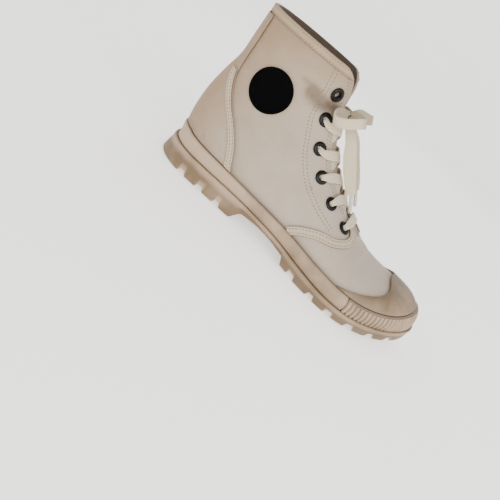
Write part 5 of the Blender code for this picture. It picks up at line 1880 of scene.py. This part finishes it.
class BOOT_OT_laces(bpy.types.Operator):
    """Lace through the eyelets, knot, loops and ends"""

    bl_idname = "boot.laces"
    bl_label = "Laces"

    def execute(self, context):
        width = context.scene.boot_sizes.lace_width / MM
        cotton = look(lace_cotton)
        for side, sign in SIDES:
            middle, normals, widths = free_route(LACE_LOOP, sign)
            # The loop's far half is darkened with dirt and painted shade.
            soil = np.interp(arc_length(middle) / arc_length(middle)[-1], *LOOP_DIRT_AND_SHADE)
            loop = piece(f"loop_{side}", ribbon_mesh("loop", middle, normals, widths, soil), cotton, "lace",
                         f"lace_loop_{side}")
            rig.cord(loop, flat_in_frame(middle)[0], arc_length(middle)[-1] * MM, width * MM, "object",
                    stiffness="limp", lay="loose", path=flat_in_frame(middle))
            middle, normals, widths = free_route(LACE_END, sign, 90)
            run = arc_length(middle)
            tip = run[-1] - AGLET_LENGTH
            widths = np.where(run > tip, AGLET_FILL * AGLET_RADIUS, widths)
            end = piece(f"end_{side}", ribbon_mesh("end", middle, normals, widths), cotton, "lace",
                        f"lace_end_{side}")
            aglet = piece(f"aglet_{side}", aglet_mesh(middle[run > tip]), look(acetate), "lace")
            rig.cord(end, flat_in_frame(middle)[0], run[-1] * MM, width * MM, "fitting", stiffness="limp",
                    lay="hanging", path=flat_in_frame(middle), with_pieces=[aglet])
        piece("knot_turn", knot_mesh(width), cotton, "lace", "lace_knot")
        piece("knot_core", knot_core_mesh(), cotton, "lace", "lace_knot")
        for node, side, mesh in lace_run_meshes(width):
            piece(f"{node}_{side}_ribbon", mesh, cotton, "lace", node)
        return {"FINISHED"}


class BOOT_OT_outsole(bpy.types.Operator):
    """Lugged outsole and the insole above it"""

    bl_idname = "boot.outsole"
    bl_label = "Outsole"

    def execute(self, context):
        loops = outsole_loops()
        mesh = loft_mesh("outsole", loops, **outsole_marks(loops))
        sole = piece("outsole_rubber", mesh, look(rubber), "rubber", "outsole")
        cutters = [shown("notch", notch_mesh(start, end)) for start, end in NOTCHES]
        for cutter in cutters:
            cut = sole.modifiers.new("Notch", "BOOLEAN")
            cut.object = cutter
            cut.solver = "EXACT"
        round_edges(sole, LUG_EDGE_WIDTH, *LUG_EDGE)
        settled(sole)
        for cutter in cutters:
            bpy.data.objects.remove(cutter)
        insole = piece("insole_cloth", insole_mesh(), look(lining), "canvas", "insole")
        thicken(insole, INSOLE_THICKNESS, -1, INSOLE_ROUNDING)
        return {"FINISHED"}


class BOOT_OT_rubber_bands(bpy.types.Operator):
    """Foxing band, ribbed toe bumper and toe cap"""

    bl_idname = "boot.rubber_bands"
    bl_label = "Foxing, bumper and toe cap"

    def execute(self, context):
        sizes = context.scene.boot_sizes
        piece("foxing_rubber", foxing_mesh(), look(rubber), "rubber", "foxing_band")
        piece("bumper_rubber", bumper_mesh(), look(rubber), "rubber", "toe_bumper")
        lines, swell = rib_lines(sizes.rib_pitch / MM)
        worn_and_highlit = [np.full(len(line), BUMPER_WEAR) for line in lines]
        ribs = grown("ribs", lines, {"swell": swell, "wear": worn_and_highlit}, rib_tree(),
                     {"Radius": sizes.rib_radius, "Material": look(rubber)})
        piece("bumper_ribs", ribs, look(rubber), "rubber", "toe_bumper")
        cap = piece("cap_rubber", toe_cap_mesh(), look(rubber), "rubber", "toe_cap")
        thicken(cap, CAP_THICKNESS, 1, CAP_ROUNDING)
        return {"FINISHED"}


class BOOT_OT_upper(bpy.types.Operator):
    """Canvas upper with its lining, and the padded tongue"""

    bl_idname = "boot.upper"
    bl_label = "Upper and tongue"

    def execute(self, context):
        upper = piece("upper_canvas", upper_mesh(), look(canvas), "canvas", "upper")
        upper.data.materials.append(look(lining))
        thicken(upper, WALL, -1, UPPER_ROUNDING).material_offset = 1
        tongue = piece("tongue_canvas", tongue_mesh(), look(canvas), "canvas", "tongue")
        thicken(tongue, TONGUE_THICKNESS, -1, TONGUE_ROUNDING)
        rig.padded(tongue, 0.4)
        return {"FINISHED"}


class BOOT_OT_overlays(bpy.types.Operator):
    """Heel counter, tapes and collar band"""

    bl_idname = "boot.overlays"
    bl_label = "Heel counter, tapes and collar"

    def execute(self, context):
        counter = piece("counter_canvas", counter_mesh(), look(canvas), "canvas", "heel_counter")
        thicken(counter, TAPE_THICKNESS, 1, COUNTER_ROUNDING)
        for side, sign in SIDES:
            points = counter_tape_points(side)
            places = np.linspace(0, 1, points.shape[1])
            # Dirt and painted shadow at the counter tape's edges and along its rows of stitches.
            soil = np.broadcast_to(row_soil(places, COUNTER_ROWS), points.shape[:2])
            mesh = grid_mesh("counter tape", points, soil=soil)
            edge = piece(f"counter_tape_{side}", mesh, look(webbing), "tape")
            thicken(edge, TAPE_THICKNESS, 1, TAPE_ROUNDING)
            places = np.linspace(0, 1, TAPE_COLUMNS)
            points = tape_points(side, places - 0.5, OVERLAY_GAP)
            # Dirt and painted shadow at the quarter tape's edges and rows, less on the medial side.
            shown_soil = 1.0 if sign < 0 else HIDDEN_SIDE_DIRT_AND_SHADE
            soil = np.broadcast_to(shown_soil * row_soil(places, TAPE_ROWS), points.shape[:2])
            mesh = grid_mesh("quarter tape", points, soil=soil)
            tape = piece(f"quarter_webbing_{side}", mesh, look(webbing), "tape", f"quarter_tape_{side}")
            thicken(tape, TAPE_THICKNESS, 1, TAPE_ROUNDING)
        collar = piece("collar_webbing", collar_mesh(), look(webbing), "tape", "collar_band")
        thicken(collar, TAPE_THICKNESS, 1, TAPE_ROUNDING)
        return {"FINISHED"}


class BOOT_OT_stitching(bpy.types.Operator):
    """Rows of stitches"""

    bl_idname = "boot.stitching"
    bl_label = "Stitching"

    def execute(self, context):
        sizes = context.scene.boot_sizes
        lines, normals = stitch_lines()
        size = (sizes.stitch_length, sizes.stitch_width, sizes.stitch_width * 0.8)
        mesh = grown("stitches", lines, {"normal": normals}, stitch_tree(),
                     {"Pitch": sizes.stitch_pitch, "Stitch Size": size, "Material": look(thread)})
        piece("stitching", mesh, look(thread), "tape")
        return {"FINISHED"}


class BOOT_OT_eyelets(bpy.types.Operator):
    """Twelve eyelets"""

    bl_idname = "boot.eyelets"
    bl_label = "Eyelets"

    def execute(self, context):
        shape = shown("eyelet shape", eyelet_shape())
        points, attributes = eyelet_points()
        mesh = grown("eyelets", points, attributes, copies_tree(), {"Shape": shape, "Material": look(enamel)})
        bpy.data.objects.remove(shape)
        nodes = [f"eyelet_{side}_{k + 1}" for side, _ in SIDES for k in range(EYELET_COUNT)]
        piece("eyelets", mesh, look(enamel), "black_enamel", *nodes)
        return {"FINISHED"}


class BOOT_OT_badge(bpy.types.Operator):
    """Bare round badge on the ankle"""

    bl_idname = "boot.badge"
    bl_label = "Badge"

    def execute(self, context):
        piece("badge", badge_mesh(), look(badge_rubber), "black_rubber", "ankle_badge")
        return {"FINISHED"}


STEPS = (BOOT_OT_stage, BOOT_OT_laces, BOOT_OT_outsole, BOOT_OT_rubber_bands, BOOT_OT_upper, BOOT_OT_overlays,
         BOOT_OT_stitching, BOOT_OT_eyelets, BOOT_OT_badge)


class BOOT_PT_panel(bpy.types.Panel):
    """The boot's sizes, colours and pieces"""

    bl_idname = "BOOT_PT_panel"
    bl_label = "Canvas boot"
    bl_space_type = "VIEW_3D"
    bl_region_type = "UI"
    bl_category = "Boot"

    def draw(self, context):
        for group in (context.scene.boot_sizes, context.scene.boot_colours):
            for name in group.bl_rna.properties.keys():
                if name not in ("rna_type", "name"):
                    self.layout.prop(group, name)
        for step in STEPS:
            self.layout.operator(step.bl_idname)


CLASSES = (BootSizes, BootColours, *STEPS, BOOT_PT_panel)


def register():
    for item in CLASSES:
        bpy.utils.register_class(item)
    bpy.types.Scene.boot_sizes = PointerProperty(type=BootSizes)
    bpy.types.Scene.boot_colours = PointerProperty(type=BootColours)


def unregister():
    del bpy.types.Scene.boot_colours
    del bpy.types.Scene.boot_sizes
    for item in reversed(CLASSES):
        bpy.utils.unregister_class(item)


def main():
    register()
    bpy.ops.boot.stage()
    bpy.ops.boot.laces()
    bpy.ops.boot.outsole()
    bpy.ops.boot.rubber_bands()
    bpy.ops.boot.upper()
    bpy.ops.boot.overlays()
    bpy.ops.boot.stitching()
    bpy.ops.boot.eyelets()
    bpy.ops.boot.badge()
    boxes = {"cad": [list(corner) for corner in CAD_BOX], "final": [list(corner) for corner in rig.bounds()]}
    with open("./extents.json", "w") as target:
        json.dump(boxes, target, indent=1)


if __name__ == "__main__":
    main()
